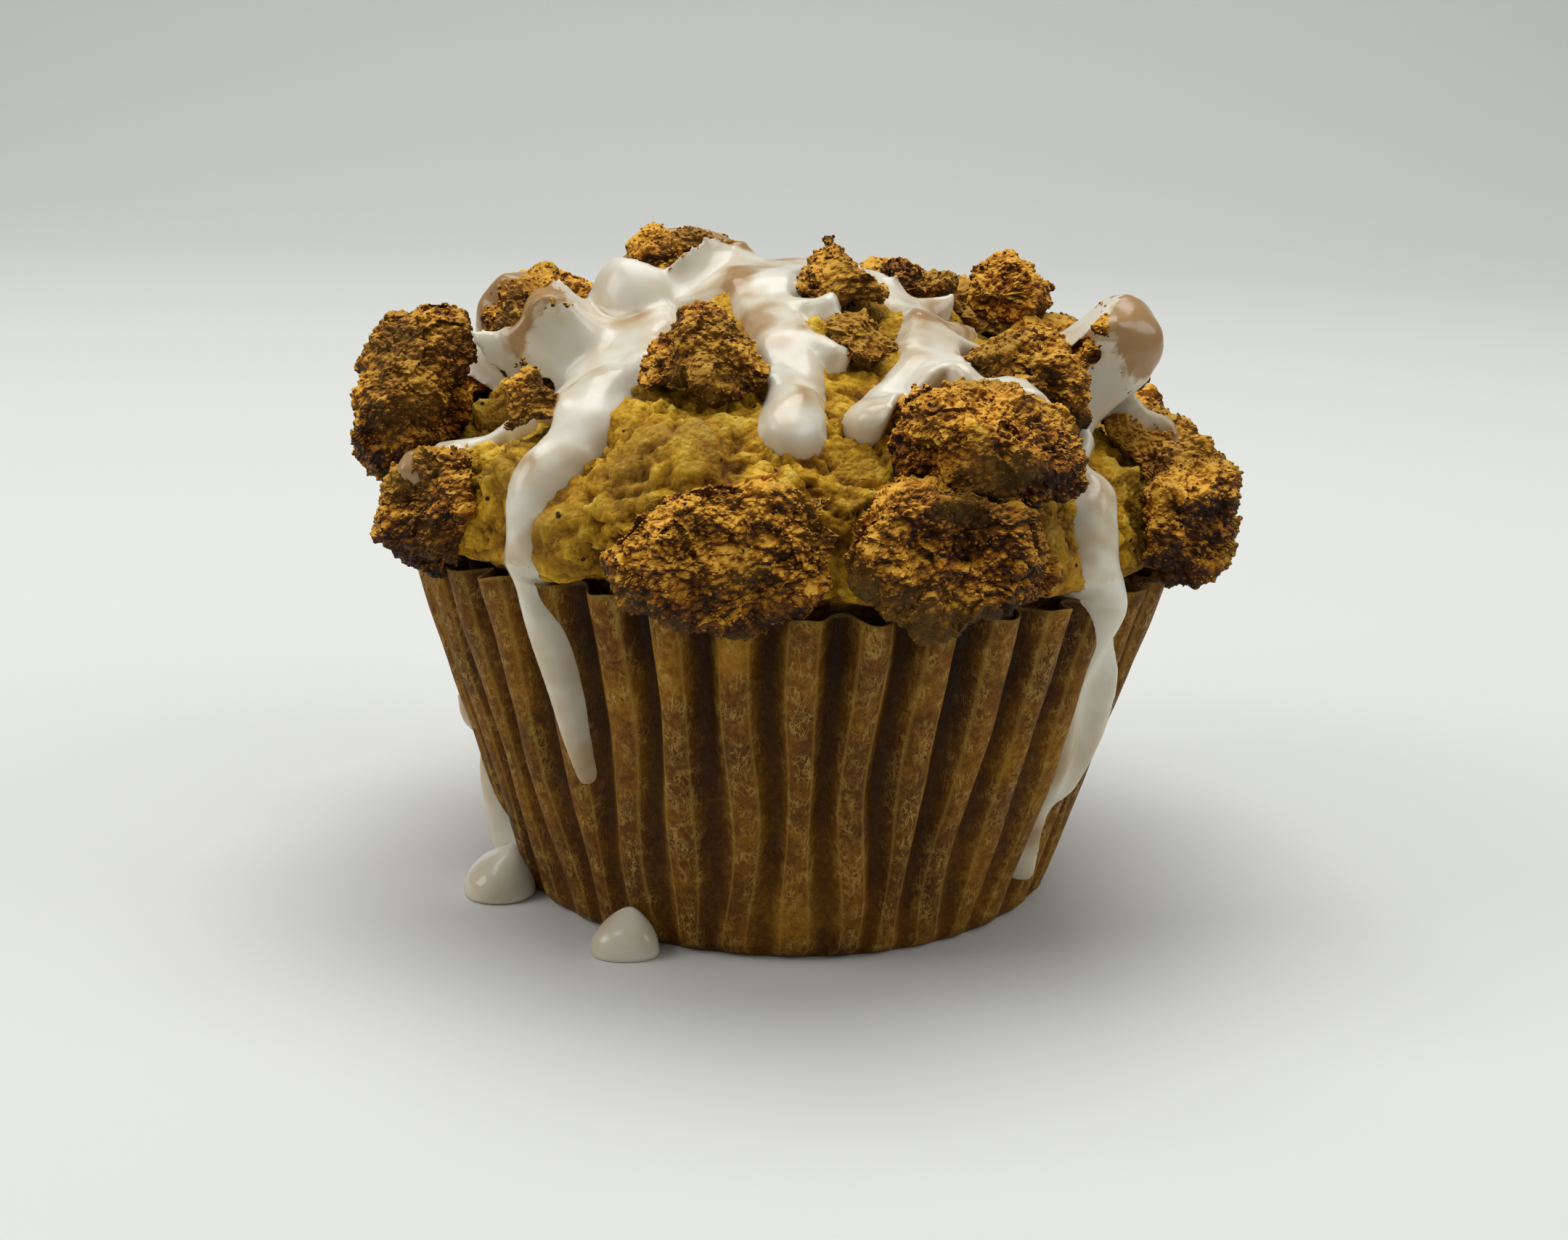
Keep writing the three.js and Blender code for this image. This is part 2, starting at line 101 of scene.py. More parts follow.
def evaluated_mesh(work, name):
    """The work object's modifiers turned into a plain mesh, and the work object removed."""
    depsgraph = bpy.context.evaluated_depsgraph_get()
    mesh = bpy.data.meshes.new_from_object(work.evaluated_get(depsgraph))
    mesh.name = name
    bpy.data.objects.remove(work)
    return mesh


def even_mesh(mesh, voxel, smoothing, name):
    """A closed mesh remade with even small faces, and its edges rounded."""
    work = bpy.data.objects.new(name + "_work", mesh)
    bpy.context.scene.collection.objects.link(work)
    remesh = work.modifiers.new("even", "REMESH")
    remesh.mode = "VOXEL"
    remesh.voxel_size = voxel
    smooth = work.modifiers.new("smooth", "SMOOTH")
    smooth.factor = 0.5
    smooth.iterations = smoothing
    return evaluated_mesh(work, name)


def fine_copy(node, voxel, smoothing):
    """A copy of a node's solid with an even fine mesh and its facets smoothed away."""
    shape = bmesh.new()
    shape.from_mesh(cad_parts[node].data)
    bmesh.ops.remove_doubles(shape, verts=shape.verts, dist=1e-6)
    mesh = bpy.data.meshes.new(node + "_copy")
    shape.to_mesh(mesh)
    shape.free()
    return even_mesh(mesh, voxel, smoothing, node + "_fine")


def vertex_array(mesh):
    points = np.empty(len(mesh.vertices) * 3)
    mesh.vertices.foreach_get("co", points)
    return points.reshape(-1, 3)


def set_vertices(mesh, points):
    mesh.vertices.foreach_set("co", np.asarray(points, float).ravel())
    mesh.update()


def float_attribute(mesh, name, values):
    layer = mesh.attributes.new(name, "FLOAT", "POINT")
    layer.data.foreach_set("value", np.asarray(values, np.float32).ravel())


# Node trees

def add(tree, kind, **settings):
    node = tree.nodes.new(kind)
    for key, value in settings.items():
        setattr(node, key, value)
    return node


def feed(tree, socket, value):
    """Links a socket to another one, or sets its value."""
    if isinstance(value, bpy.types.NodeSocket):
        tree.links.new(value, socket)
    else:
        socket.default_value = value


def used(sockets, name):
    """The socket of that name that the node's data type uses."""
    return next(socket for socket in sockets if socket.name == name and socket.enabled)


def calc(tree, operation, first, second=0.0, clamp=False):
    node = add(tree, "ShaderNodeMath", operation=operation, use_clamp=clamp)
    feed(tree, node.inputs[0], first)
    feed(tree, node.inputs[1], second)
    return node.outputs[0]


def total(tree, *values):
    result = values[0]
    for value in values[1:]:
        result = calc(tree, "ADD", result, value)
    return result


def per_metre(tree, size):
    """How many of a size fit in a metre, for a size that is a number or a socket."""
    return calc(tree, "DIVIDE", 1.0, size) if isinstance(size, bpy.types.NodeSocket) else 1.0 / size


def noise(tree, place, size, detail=2.0, roughness=0.5, distortion=0.0):
    """Noise from 0 to 1 whose blobs are about size metres across."""
    node = add(tree, "ShaderNodeTexNoise")
    feed(tree, node.inputs["Vector"], place)
    feed(tree, node.inputs["Scale"], per_metre(tree, size))
    node.inputs["Detail"].default_value = detail
    node.inputs["Roughness"].default_value = roughness
    node.inputs["Distortion"].default_value = distortion
    return node.outputs[0]


def cells(tree, place, size, feature="F1", output="Distance"):
    """Cells about size metres across: the distance to each one's middle, or its colour by chance."""
    node = add(tree, "ShaderNodeTexVoronoi", feature=feature)
    feed(tree, node.inputs["Vector"], place)
    feed(tree, node.inputs["Scale"], per_metre(tree, size))
    return node.outputs[output]


def swirled(tree, place, size, amount):
    """The place moved about by a soft swirl, so that what reads it isn't regular."""
    swirl = add(tree, "ShaderNodeTexNoise")
    feed(tree, swirl.inputs["Vector"], place)
    swirl.inputs["Scale"].default_value = 1.0 / size
    shift = add(tree, "ShaderNodeVectorMath", operation="MULTIPLY_ADD")
    feed(tree, shift.inputs[0], swirl.outputs[1])
    shift.inputs[1].default_value = (amount, amount, amount)
    feed(tree, shift.inputs[2], place)
    return shift.outputs[0]


def ranged(tree, value, low, high, out_low=0.0, out_high=1.0):
    node = add(tree, "ShaderNodeMapRange")
    feed(tree, node.inputs["Value"], value)
    node.inputs["From Min"].default_value = low
    node.inputs["From Max"].default_value = high
    node.inputs["To Min"].default_value = out_low
    node.inputs["To Max"].default_value = out_high
    return node.outputs[0]


def relief_tree(name, sizes):
    """An empty surface tree with named length inputs. Returns it, its input node and its output node."""
    tree = bpy.data.node_groups.new(name, "GeometryNodeTree")
    tree.interface.new_socket("Surface", in_out="INPUT", socket_type="NodeSocketGeometry")
    for label, value in sizes.items():
        socket = tree.interface.new_socket(label, in_out="INPUT", socket_type="NodeSocketFloat")
        socket.default_value = value
    tree.interface.new_socket("Surface", in_out="OUTPUT", socket_type="NodeSocketGeometry")
    return tree, add(tree, "NodeGroupInput"), add(tree, "NodeGroupOutput")


def raise_surface(tree, surface, height, spread):
    """Moves a surface along its normals, and keeps as relief how far each point then stands proud."""
    normal = add(tree, "GeometryNodeInputNormal").outputs[0]
    offset = add(tree, "ShaderNodeVectorMath", operation="SCALE")
    feed(tree, offset.inputs[0], normal)
    feed(tree, offset.inputs["Scale"], height)
    move = add(tree, "GeometryNodeSetPosition")
    feed(tree, move.inputs["Geometry"], surface)
    feed(tree, move.inputs["Offset"], offset.outputs[0])
    here = add(tree, "GeometryNodeInputPosition").outputs[0]
    around = add(tree, "GeometryNodeBlurAttribute", data_type="FLOAT_VECTOR")
    feed(tree, used(around.inputs, "Value"), here)
    around.inputs["Iterations"].default_value = spread
    apart = add(tree, "ShaderNodeVectorMath", operation="SUBTRACT")
    feed(tree, apart.inputs[0], here)
    feed(tree, apart.inputs[1], used(around.outputs, "Value"))
    proud = add(tree, "ShaderNodeVectorMath", operation="DOT_PRODUCT")
    feed(tree, proud.inputs[0], apart.outputs[0])
    feed(tree, proud.inputs[1], normal)
    store = add(tree, "GeometryNodeStoreNamedAttribute", data_type="FLOAT", domain="POINT")
    feed(tree, store.inputs["Geometry"], move.outputs[0])
    store.inputs["Name"].default_value = "relief"
    feed(tree, store.inputs["Value"], proud.outputs["Value"])
    return store.outputs[0]


def scattered(tree, surface, density, least, most, seed, tones):
    """Small angular grains of random size strewn over a surface, as instances."""
    strewn = add(tree, "GeometryNodeDistributePointsOnFaces", distribute_method="RANDOM")
    feed(tree, strewn.inputs["Mesh"], surface)
    feed(tree, strewn.inputs["Density"], density)
    strewn.inputs["Seed"].default_value = seed
    tone = add(tree, "FunctionNodeRandomValue", data_type="FLOAT")
    tone.inputs[2].default_value = tones[0]
    tone.inputs[3].default_value = tones[1]
    tone.inputs["Seed"].default_value = seed + 1
    store = add(tree, "GeometryNodeStoreNamedAttribute", data_type="FLOAT", domain="POINT")
    feed(tree, store.inputs["Geometry"], strewn.outputs["Points"])
    store.inputs["Name"].default_value = "relief"
    feed(tree, store.inputs["Value"], tone.outputs[1])
    grain = add(tree, "GeometryNodeMeshIcoSphere")
    grain.inputs["Radius"].default_value = 1.0
    grain.inputs["Subdivisions"].default_value = 1
    size = add(tree, "FunctionNodeRandomValue", data_type="FLOAT_VECTOR")
    size.inputs[0].default_value = (least, least, least)
    size.inputs[1].default_value = (most, most, most)
    size.inputs["Seed"].default_value = seed + 2
    turn = add(tree, "FunctionNodeRandomValue", data_type="FLOAT_VECTOR")
    turn.inputs[0].default_value = (0, 0, 0)
    turn.inputs[1].default_value = (6.28, 6.28, 6.28)
    turn.inputs["Seed"].default_value = seed + 3
    place = add(tree, "GeometryNodeInstanceOnPoints")
    feed(tree, place.inputs["Points"], store.outputs[0])
    feed(tree, place.inputs["Instance"], grain.outputs[0])
    feed(tree, place.inputs["Rotation"], turn.outputs[0])
    feed(tree, place.inputs["Scale"], size.outputs[0])
    return place.outputs[0]


def close_tree(tree, output, parts, material):
    """Joins the parts, makes instances real and gives them their material."""
    join = add(tree, "GeometryNodeJoinGeometry")
    for part in parts:
        tree.links.new(part, join.inputs[0])
    real = add(tree, "GeometryNodeRealizeInstances")
    feed(tree, real.inputs[0], join.outputs[0])
    finish = add(tree, "GeometryNodeSetMaterial")
    feed(tree, finish.inputs["Geometry"], real.outputs[0])
    finish.inputs["Material"].default_value = material
    feed(tree, output.inputs[0], finish.outputs[0])


def through_tree(mesh, tree, values, name):
    """The mesh after a surface tree, with its inputs set by name."""
    work = bpy.data.objects.new(name + "_work", mesh)
    bpy.context.scene.collection.objects.link(work)
    modifier = work.modifiers.new("relief", "NODES")
    modifier.node_group = tree
    for item in tree.interface.items_tree:
        if item.in_out == "INPUT" and item.name in values:
            modifier[item.identifier] = values[item.name]
    return evaluated_mesh(work, name)


# Materials

def bare_material(name):
    material = bpy.data.materials.new(name)
    material.use_nodes = True
    tree = material.node_tree
    place = add(tree, "ShaderNodeTexCoord").outputs["Object"]
    return material, tree, tree.nodes["Principled BSDF"], place


def ramp(tree, value, stops):
    node = add(tree, "ShaderNodeValToRGB")
    feed(tree, node.inputs[0], value)
    elements = node.color_ramp.elements
    while len(elements) < len(stops):
        elements.new(0.5)
    for element, (position, colour) in zip(elements, stops):
        element.position = position
        element.color = (*colour, 1.0)
    return node.outputs[0]


def blended(tree, amount, first, second):
    """Two colours mixed: the first where amount is 0, the second where it is 1."""
    node = add(tree, "ShaderNodeMix", data_type="RGBA")
    feed(tree, node.inputs[0], amount)
    feed(tree, node.inputs[6], first if isinstance(first, bpy.types.NodeSocket) else (*first, 1.0))
    feed(tree, node.inputs[7], second if isinstance(second, bpy.types.NodeSocket) else (*second, 1.0))
    return node.outputs[2]


def attribute(tree, name):
    return add(tree, "ShaderNodeAttribute", attribute_name=name).outputs["Fac"]


def parts_of(tree, vector):
    node = add(tree, "ShaderNodeSeparateXYZ")
    feed(tree, node.inputs[0], vector)
    return node.outputs


def bumped(tree, shader, height, distance, strength):
    node = add(tree, "ShaderNodeBump")
    node.inputs["Strength"].default_value = strength
    node.inputs["Distance"].default_value = distance
    feed(tree, node.inputs["Height"], height)
    feed(tree, shader.inputs["Normal"], node.outputs[0])


def crumb_material():
    """Baked butter crumbs: golden on the broken corners, brown on the faces, dark in the hollows; the golden
    corners and dark hollows are painted light and shade, and so are the lighter faces turned up and the
    darker ones turned down.
    """
    material, tree, shader, place = bare_material("baked_crumb")
    # Painted light and shade: the relief makes the proud corners lighter and the hollows darker.
    proud = ranged(tree, attribute(tree, "relief"), -0.5 * MM, 0.5 * MM)
    patches = noise(tree, place, 6 * MM, 3.0, 0.55)
    grain = noise(tree, place, 0.5 * MM, 3.0, 0.7)
    speck = cells(tree, place, 0.75 * MM, output="Color")
    # Painted light and shade: faces turned up are made lighter and faces turned down darker.
    upwards = parts_of(tree, add(tree, "ShaderNodeNewGeometry").outputs["Normal"])[2]
    tone = total(
        tree,
        calc(tree, "MULTIPLY", proud, 0.34),
        calc(tree, "MULTIPLY", patches, 1.3),
        calc(tree, "MULTIPLY", speck, 0.15),
        calc(tree, "MULTIPLY", grain, 0.22),
        calc(tree, "MULTIPLY", upwards, 0.5),
    )
    stops = [
        (0.0, (0.016, 0.004, 0.001)),
        (0.28, (0.068, 0.02, 0.0012)),
        (0.52, (0.22, 0.072, 0.0028)),
        (0.75, (0.56, 0.22, 0.011)),
        (1.0, (0.92, 0.49, 0.055)),
    ]
    colour = ramp(tree, ranged(tree, tone, 0.78, 1.5), stops)
    dull = ranged(tree, noise(tree, place, 8 * MM, 1.0), 0.46, 0.66, 0.0, 0.5)
    colour = blended(tree, dull, colour, (0.17, 0.093, 0.012))
    fleck = ranged(tree, cells(tree, place, 1.7 * MM), 0.12, 0.08)
    colour = blended(tree, fleck, colour, (0.02, 0.008, 0.003))
    feed(tree, shader.inputs["Base Color"], colour)
    feed(tree, shader.inputs["Roughness"], ranged(tree, speck, 0.2, 0.9, 0.66, 0.3))
    shader.inputs["Specular IOR Level"].default_value = 0.18
    sugar = calc(tree, "MULTIPLY", cells(tree, place, 0.42 * MM), -1.0)
    bumped(tree, shader, total(tree, sugar, noise(tree, place, 0.25 * MM, 3.0, 0.7)), 0.16 * MM, 0.8)
    return material


def cake_material():
    """Soft yellow cake crust with brown patches and dark flecks; the hollows are painted darker and the
    bulges and the faces turned up lighter, as painted shade and light.
    """
    material, tree, shader, place = bare_material("cake_crust")
    # Painted light and shade: the relief makes the bulges lighter and the hollows darker.
    proud = ranged(tree, attribute(tree, "relief"), -0.7 * MM, 0.6 * MM)
    patches = noise(tree, place, 5 * MM, 3.0, 0.6)
    grain = noise(tree, place, 0.6 * MM, 4.0, 0.7)
    speck = cells(tree, place, 0.6 * MM, output="Color")
    # Painted light and shade: faces turned up are made a little lighter and faces turned down darker.
    upwards = parts_of(tree, add(tree, "ShaderNodeNewGeometry").outputs["Normal"])[2]
    tone = total(
        tree,
        calc(tree, "MULTIPLY", proud, 0.55),
        calc(tree, "MULTIPLY", patches, 0.5),
        calc(tree, "MULTIPLY", grain, 0.35),
        calc(tree, "MULTIPLY", speck, 0.2),
        calc(tree, "MULTIPLY", upwards, 0.12),
    )
    stops = [
        (0.0, (0.04, 0.015, 0.001)),
        (0.25, (0.19, 0.08, 0.002)),
        (0.5, (0.47, 0.225, 0.007)),
        (0.78, (0.76, 0.43, 0.02)),
        (1.0, (0.93, 0.63, 0.09)),
    ]
    colour = ramp(tree, ranged(tree, tone, 0.48, 1.2), stops)
    brown = ranged(tree, noise(tree, place, 9 * MM, 2.0), 0.48, 0.64, 0.0, 0.6)
    colour = blended(tree, brown, colour, (0.22, 0.1, 0.012))
    fleck = ranged(tree, cells(tree, place, 2.0 * MM), 0.13, 0.08)
    colour = blended(tree, fleck, colour, (0.03, 0.012, 0.004))
    feed(tree, shader.inputs["Base Color"], colour)
    feed(tree, shader.inputs["Roughness"], ranged(tree, speck, 0.2, 0.9, 0.72, 0.36))
    shader.inputs["Specular IOR Level"].default_value = 0.18
    couscous = calc(tree, "MULTIPLY", cells(tree, place, 0.55 * MM), -1.2)
    bumped(tree, shader, total(tree, couscous, noise(tree, place, 0.35 * MM, 4.0, 0.7)), 0.3 * MM, 0.9)
    return material


def fibre_lines(tree, place, size, turn):
    """Thin winding hairs, along the middle value of a stretched noise."""
    mapping = add(tree, "ShaderNodeMapping")
    feed(tree, mapping.inputs["Vector"], place)
    mapping.inputs["Rotation"].default_value = turn
    mapping.inputs["Scale"].default_value = (1.0, 1.0, 0.4)
    hair = noise(tree, mapping.outputs[0], size, 1.0, 0.5, 0.8)
    return ranged(tree, calc(tree, "ABSOLUTE", calc(tree, "SUBTRACT", hair, 0.5)), 0.03, 0.006)


def paper_material():
    """Unbleached baking paper soaked with butter: brown, blotched, and full of fine pale fibres."""
    material, tree, shader, place = bare_material("baking_paper")
    blotches = noise(tree, place, 8 * MM, 4.0, 0.6)
    cloud = noise(tree, place, 0.55 * MM, 3.0, 0.7)
    tone = total(tree, calc(tree, "MULTIPLY", blotches, 0.8), calc(tree, "MULTIPLY", cloud, 0.5))
    stops = [
        (0.0, (0.055, 0.017, 0.001)),
        (0.35, (0.12, 0.04, 0.0015)),
        (0.65, (0.22, 0.084, 0.0035)),
        (1.0, (0.41, 0.185, 0.011)),
    ]
    colour = ramp(tree, ranged(tree, tone, 0.42, 0.88), stops)
    # Painted shade, partly butter soaked into the folds: the valleys between the pleats go towards near
    # black, more strongly higher up the wall where the folds are deeper and the crumbs overhang.
    fold_depth = attribute(tree, "valley")
    deep = ranged(tree, parts_of(tree, place)[2], 1 * MM, 28 * MM, 0.35, 0.92)
    valley = calc(tree, "MULTIPLY", ranged(tree, fold_depth, 0.12, 1.0), deep)
    colour = blended(tree, valley, colour, (0.016, 0.006, 0.001))
    # Painted highlight: a golden line along the folds at each crest's edges.
    painted_highlight_distance = calc(tree, "ABSOLUTE", calc(tree, "SUBTRACT", fold_depth, 0.16))
    colour = blended(tree, ranged(tree, painted_highlight_distance, 0.12, 0.0, 0.0, 0.36), colour, (0.52, 0.3, 0.05))
    crest = ranged(tree, fold_depth, 1.0, 0.1, 0.0, 1.0)
    hairs = fibre_lines(tree, place, 0.8 * MM, (0.3, 0.2, 0.1))
    for turn in ((1.2, 0.5, 0.9), (2.1, 1.3, 0.4), (0.7, 2.2, 1.7)):
        hairs = calc(tree, "MAXIMUM", hairs, fibre_lines(tree, place, 0.8 * MM, turn))
    sparse = ranged(tree, noise(tree, place, 1.4 * MM, 3.0), 0.42, 0.62, 0.05, 0.62)
    shown = calc(tree, "MULTIPLY", calc(tree, "MULTIPLY", hairs, sparse), crest)
    colour = blended(tree, shown, colour, (0.52, 0.33, 0.075))
    edge = calc(tree, "MULTIPLY", attribute(tree, "edge"), 0.6)
    colour = blended(tree, edge, colour, (0.42, 0.26, 0.06))
    feed(tree, shader.inputs["Base Color"], colour)
    feed(tree, shader.inputs["Roughness"], ranged(tree, blotches, 0.3, 0.7, 0.48, 0.68))
    shader.inputs["Specular IOR Level"].default_value = 0.14
    grain = total(tree, calc(tree, "MULTIPLY", hairs, 0.4), noise(tree, place, 0.6 * MM, 4.0, 0.65))
    bumped(tree, shader, grain, 0.12 * MM, 0.7)
    return material


def icing_material():
    """Poured sugar icing: white and smooth, with the crumb's brown showing where it is thin."""
    material, tree, shader, place = bare_material("poured_icing")
    thick = ranged(tree, attribute(tree, "thickness"), 0.5 * MM, 2.0 * MM)
    cloud = noise(tree, place, 5.5 * MM, 2.0, 0.5)
    cover = calc(tree, "ADD", thick, ranged(tree, cloud, 0.3, 0.7, -0.5, 0.15), clamp=True)
    stops = [
        (0.0, (0.4, 0.24, 0.1)),
        (0.3, (0.56, 0.43, 0.27)),
        (0.62, (0.7, 0.63, 0.48)),
        (1.0, (0.79, 0.76, 0.65)),
    ]
    feed(tree, shader.inputs["Base Color"], ramp(tree, cover, stops))
    shader.inputs["Subsurface Weight"].default_value = 0.3
    shader.inputs["Subsurface Radius"].default_value = (1.0, 0.8, 0.6)
    shader.inputs["Subsurface Scale"].default_value = 1.0 * MM
    feed(tree, shader.inputs["Roughness"], ranged(tree, cloud, 0.3, 0.7, 0.14, 0.28))
    shader.inputs["Specular IOR Level"].default_value = 0.5
    bumped(tree, shader, noise(tree, place, 1.6 * MM, 2.0), 0.1 * MM, 0.2)
    return material


# The paper case

WHOLE = 0xFFFFFFFF


def chance(x, y, z, seed):
    """A fixed number from -1 to 1 for a place in a lattice."""
    h = ((x * 73856093) ^ (y * 19349663) ^ (z * 83492791)) & WHOLE
    h = ((h ^ (seed * 2654435761)) * 1274126177) & WHOLE
    h ^= h >> 13
    h = (h * 1911520717) & WHOLE
    h ^= h >> 16
    return h / 2147483648 - 1


def share(index, seed):
    return 0.5 + 0.5 * chance(index, seed, 7, 1)


def rim_height(azimuth):
    """The case's height, which rises a little at its left front and sways all round."""
    from_high = np.arctan2(np.sin(azimuth + 0.55), np.cos(azimuth + 0.55))
    high = 1.5 * MM * np.exp(-((from_high / 0.5) ** 2))
    return CASE_HEIGHT + high + 0.3 * MM * np.sin(3 * azimuth + 1)


# The folds of a pleat as shares of its width, how softly they turn, and how far a crest bows out
CORNERS = np.array([-0.24, 0.24, 0.38, 0.62])
STEPS_PER_PLEAT = 20
ROUNDING = 1.1
CROWN = 0.24


def pleat_columns():
    """Azimuth, depth share (0 on a crest, 1 in a valley) and fold of every column round the case."""
    corners = []
    for pleat in range(PLEATS + 1):
        wander = 0.1 * (share(pleat % PLEATS, 3) - 0.5)
        fold = 0.82 + 0.18 * share(pleat % PLEATS, 4)
        for corner, offset in enumerate(CORNERS):
            azimuth = PLEAT_TURN + (pleat + offset + wander) * 2 * math.pi / PLEATS
            corners.append((azimuth, float(corner > 1), fold))
    azimuths, depths, folds = np.array(corners).T
    count = PLEATS * STEPS_PER_PLEAT
    azimuth = azimuths[0] + np.arange(count) * 2 * math.pi / count
    depth = np.interp(azimuth, azimuths, depths)
    fold = np.interp(azimuth, azimuths, folds)
    steps = np.arange(-4, 5)
    kernel = np.exp(-0.5 * (steps / ROUNDING) ** 2)
    kernel /= kernel.sum()
    depth = sum(weight * np.roll(depth, step) for weight, step in zip(kernel, steps))
    crown = np.maximum(0, np.cos((azimuth - PLEAT_TURN) * PLEATS))
    return azimuth, 0.88 * depth + 0.5 * CROWN - CROWN * crown, fold


WALL_ROWS = 84
INNER_ROWS = 20


def case_mesh():
    """The pleated wall with its thickness and the flat sole, as one closed mesh."""
    azimuth, depth, fold = pleat_columns()
    columns = len(azimuth)
    rim = rim_height(azimuth)

    def ring(height_share):
        crest = CREST_BASE_RADIUS + (CREST_RIM_RADIUS - CREST_BASE_RADIUS) * height_share
        deep = PLEAT_DEPTH_BASE + (PLEAT_DEPTH_RIM - PLEAT_DEPTH_BASE) * height_share
        folded = crest - (1 - fold) * deep * (1 - depth) - deep * depth
        lower = 1 - height_share
        dents = np.sin(5 * height_share + 4 * azimuth) * np.sin(9 * azimuth - 4 * height_share)
        creases = np.sin(31 * azimuth + 9 * height_share) * np.sin(17 * height_share - 12 * azimuth)
        radius = folded + (0.35 * dents + 0.16 * creases) * MM * height_share * (0.4 + lower)
        pitch = 2 * math.pi / PLEATS
        sway = 0.16 * np.sin(6 * azimuth + 5 * height_share) + 0.1 * np.sin(13 * azimuth - 8 * height_share)
        turned = azimuth + sway * pitch * lower
        ragged = 0.25 * MM * np.sin(0.9 * PLEATS * azimuth) * np.sin(23 * azimuth + 1)
        height = height_share * rim + ragged * np.clip(height_share - 0.9, 0, 0.1) * 10
        return np.stack([radius * np.sin(turned), -radius * np.cos(turned), height], 1)

    def inside_of(outline, thickness):
        ahead = np.roll(outline, -1, 0) - np.roll(outline, 1, 0)
        inwards = np.stack([-ahead[:, 1], ahead[:, 0], np.zeros(columns)], 1)
        inwards /= np.linalg.norm(inwards, axis=1)[:, None]
        return outline + thickness * inwards

    def sole(radius, height):
        return np.stack([radius * np.sin(azimuth), -radius * np.cos(azimuth), np.full(columns, height)], 1)

    foot = FOOT / CASE_HEIGHT
    outer = [ring(s) for s in np.linspace(foot, 1, WALL_ROWS)]
    inner = [inside_of(ring(s), PAPER) for s in np.linspace(1, foot, INNER_ROWS)]
    under = [sole(r, 0.0) for r in np.linspace(4 * MM, SOLE_RADIUS, 5)]
    over = [sole(r, PAPER) for r in np.linspace(SOLE_RADIUS - PAPER, 4 * MM, 4)]
    curl = [0.5 * (under[-1] + outer[0]) - np.array([0, 0, 0.15 * MM])]
    rings = under + curl + outer + inner + over
    points = np.concatenate([[[0, 0, 0]], *rings, [[0, 0, PAPER]]])
    mesh = surface_mesh("paper_wall", points, ring_faces(len(rings), columns))
    valley = np.zeros(len(points))
    edge = np.zeros(len(points))
    for row in range(len(under), len(rings)):
        valley[1 + row * columns:1 + (row + 1) * columns] = depth
    rim_row = len(under) + len(curl) + WALL_ROWS
    edge[1 + (rim_row - 1) * columns:1 + (rim_row + 1) * columns] = 1.0
    float_attribute(mesh, "valley", np.clip(valley, 0, 1))
    float_attribute(mesh, "edge", edge)
    return mesh


# The cake

CAKE_VOXEL = 0.46 * MM
CAKE_SMOOTHING = 26


def cake_tree(material):
    """The cake's crust: soft pillows with crags, creases and pores, and nothing raised inside the case."""
    sizes = {
        "Pillow height": 4.2 * MM,
        "Pillow size": 6.6 * MM,
        "Crag height": 2.2 * MM,
        "Crag size": 2.2 * MM,
    }
    tree, source, output = relief_tree("cake_relief", sizes)
    given = source.outputs
    place = add(tree, "GeometryNodeInputPosition").outputs[0]
    moved = swirled(tree, place, 6 * MM, 5 * MM)
    pillow = calc(tree, "SUBTRACT", 0.34, cells(tree, moved, given["Pillow size"], "SMOOTH_F1"))
    crag = calc(tree, "SUBTRACT", noise(tree, place, given["Crag size"], 5.0, 0.65), 0.5)
    crease = calc(tree, "ABSOLUTE", calc(tree, "SUBTRACT", noise(tree, moved, 4.2 * MM, 2.0), 0.5))
    pore = cells(tree, place, 1.3 * MM)
    granule = calc(tree, "SUBTRACT", 0.4, cells(tree, place, 0.95 * MM))
    height = total(
        tree,
        calc(tree, "MULTIPLY", pillow, given["Pillow height"]),
        calc(tree, "MULTIPLY", crag, given["Crag height"]),
        calc(tree, "MULTIPLY", granule, 0.35 * MM),
        ranged(tree, crease, 0.0, 0.06, -0.8 * MM, 0.0),
        ranged(tree, pore, 0.05, 0.3, -0.3 * MM, 0.0),
    )
    above_rim = ranged(tree, parts_of(tree, place)[2], 32.5 * MM, 35.5 * MM)
    hidden = calc(tree, "MULTIPLY", calc(tree, "SUBTRACT", 1.0, above_rim), -0.4 * MM)
    height = calc(tree, "ADD", calc(tree, "MULTIPLY", height, above_rim), hidden)
    risen = raise_surface(tree, given["Surface"], height, 16)
    close_tree(tree, output, [risen], material)
    return tree


# The crumbs

# Voxels of the crumbs in front and at the back, and the grains strewn on each square metre of them
FRONT_CRUMB = 0.18 * MM
OTHER_CRUMB = 0.3 * MM
FRONT_GRAINS = 1.5e6
OTHER_GRAINS = 0.8e6
CRUMB_SMOOTHING = 5
BACK_WORDS = ("_rim_", "_shoulder_", "_crown_")

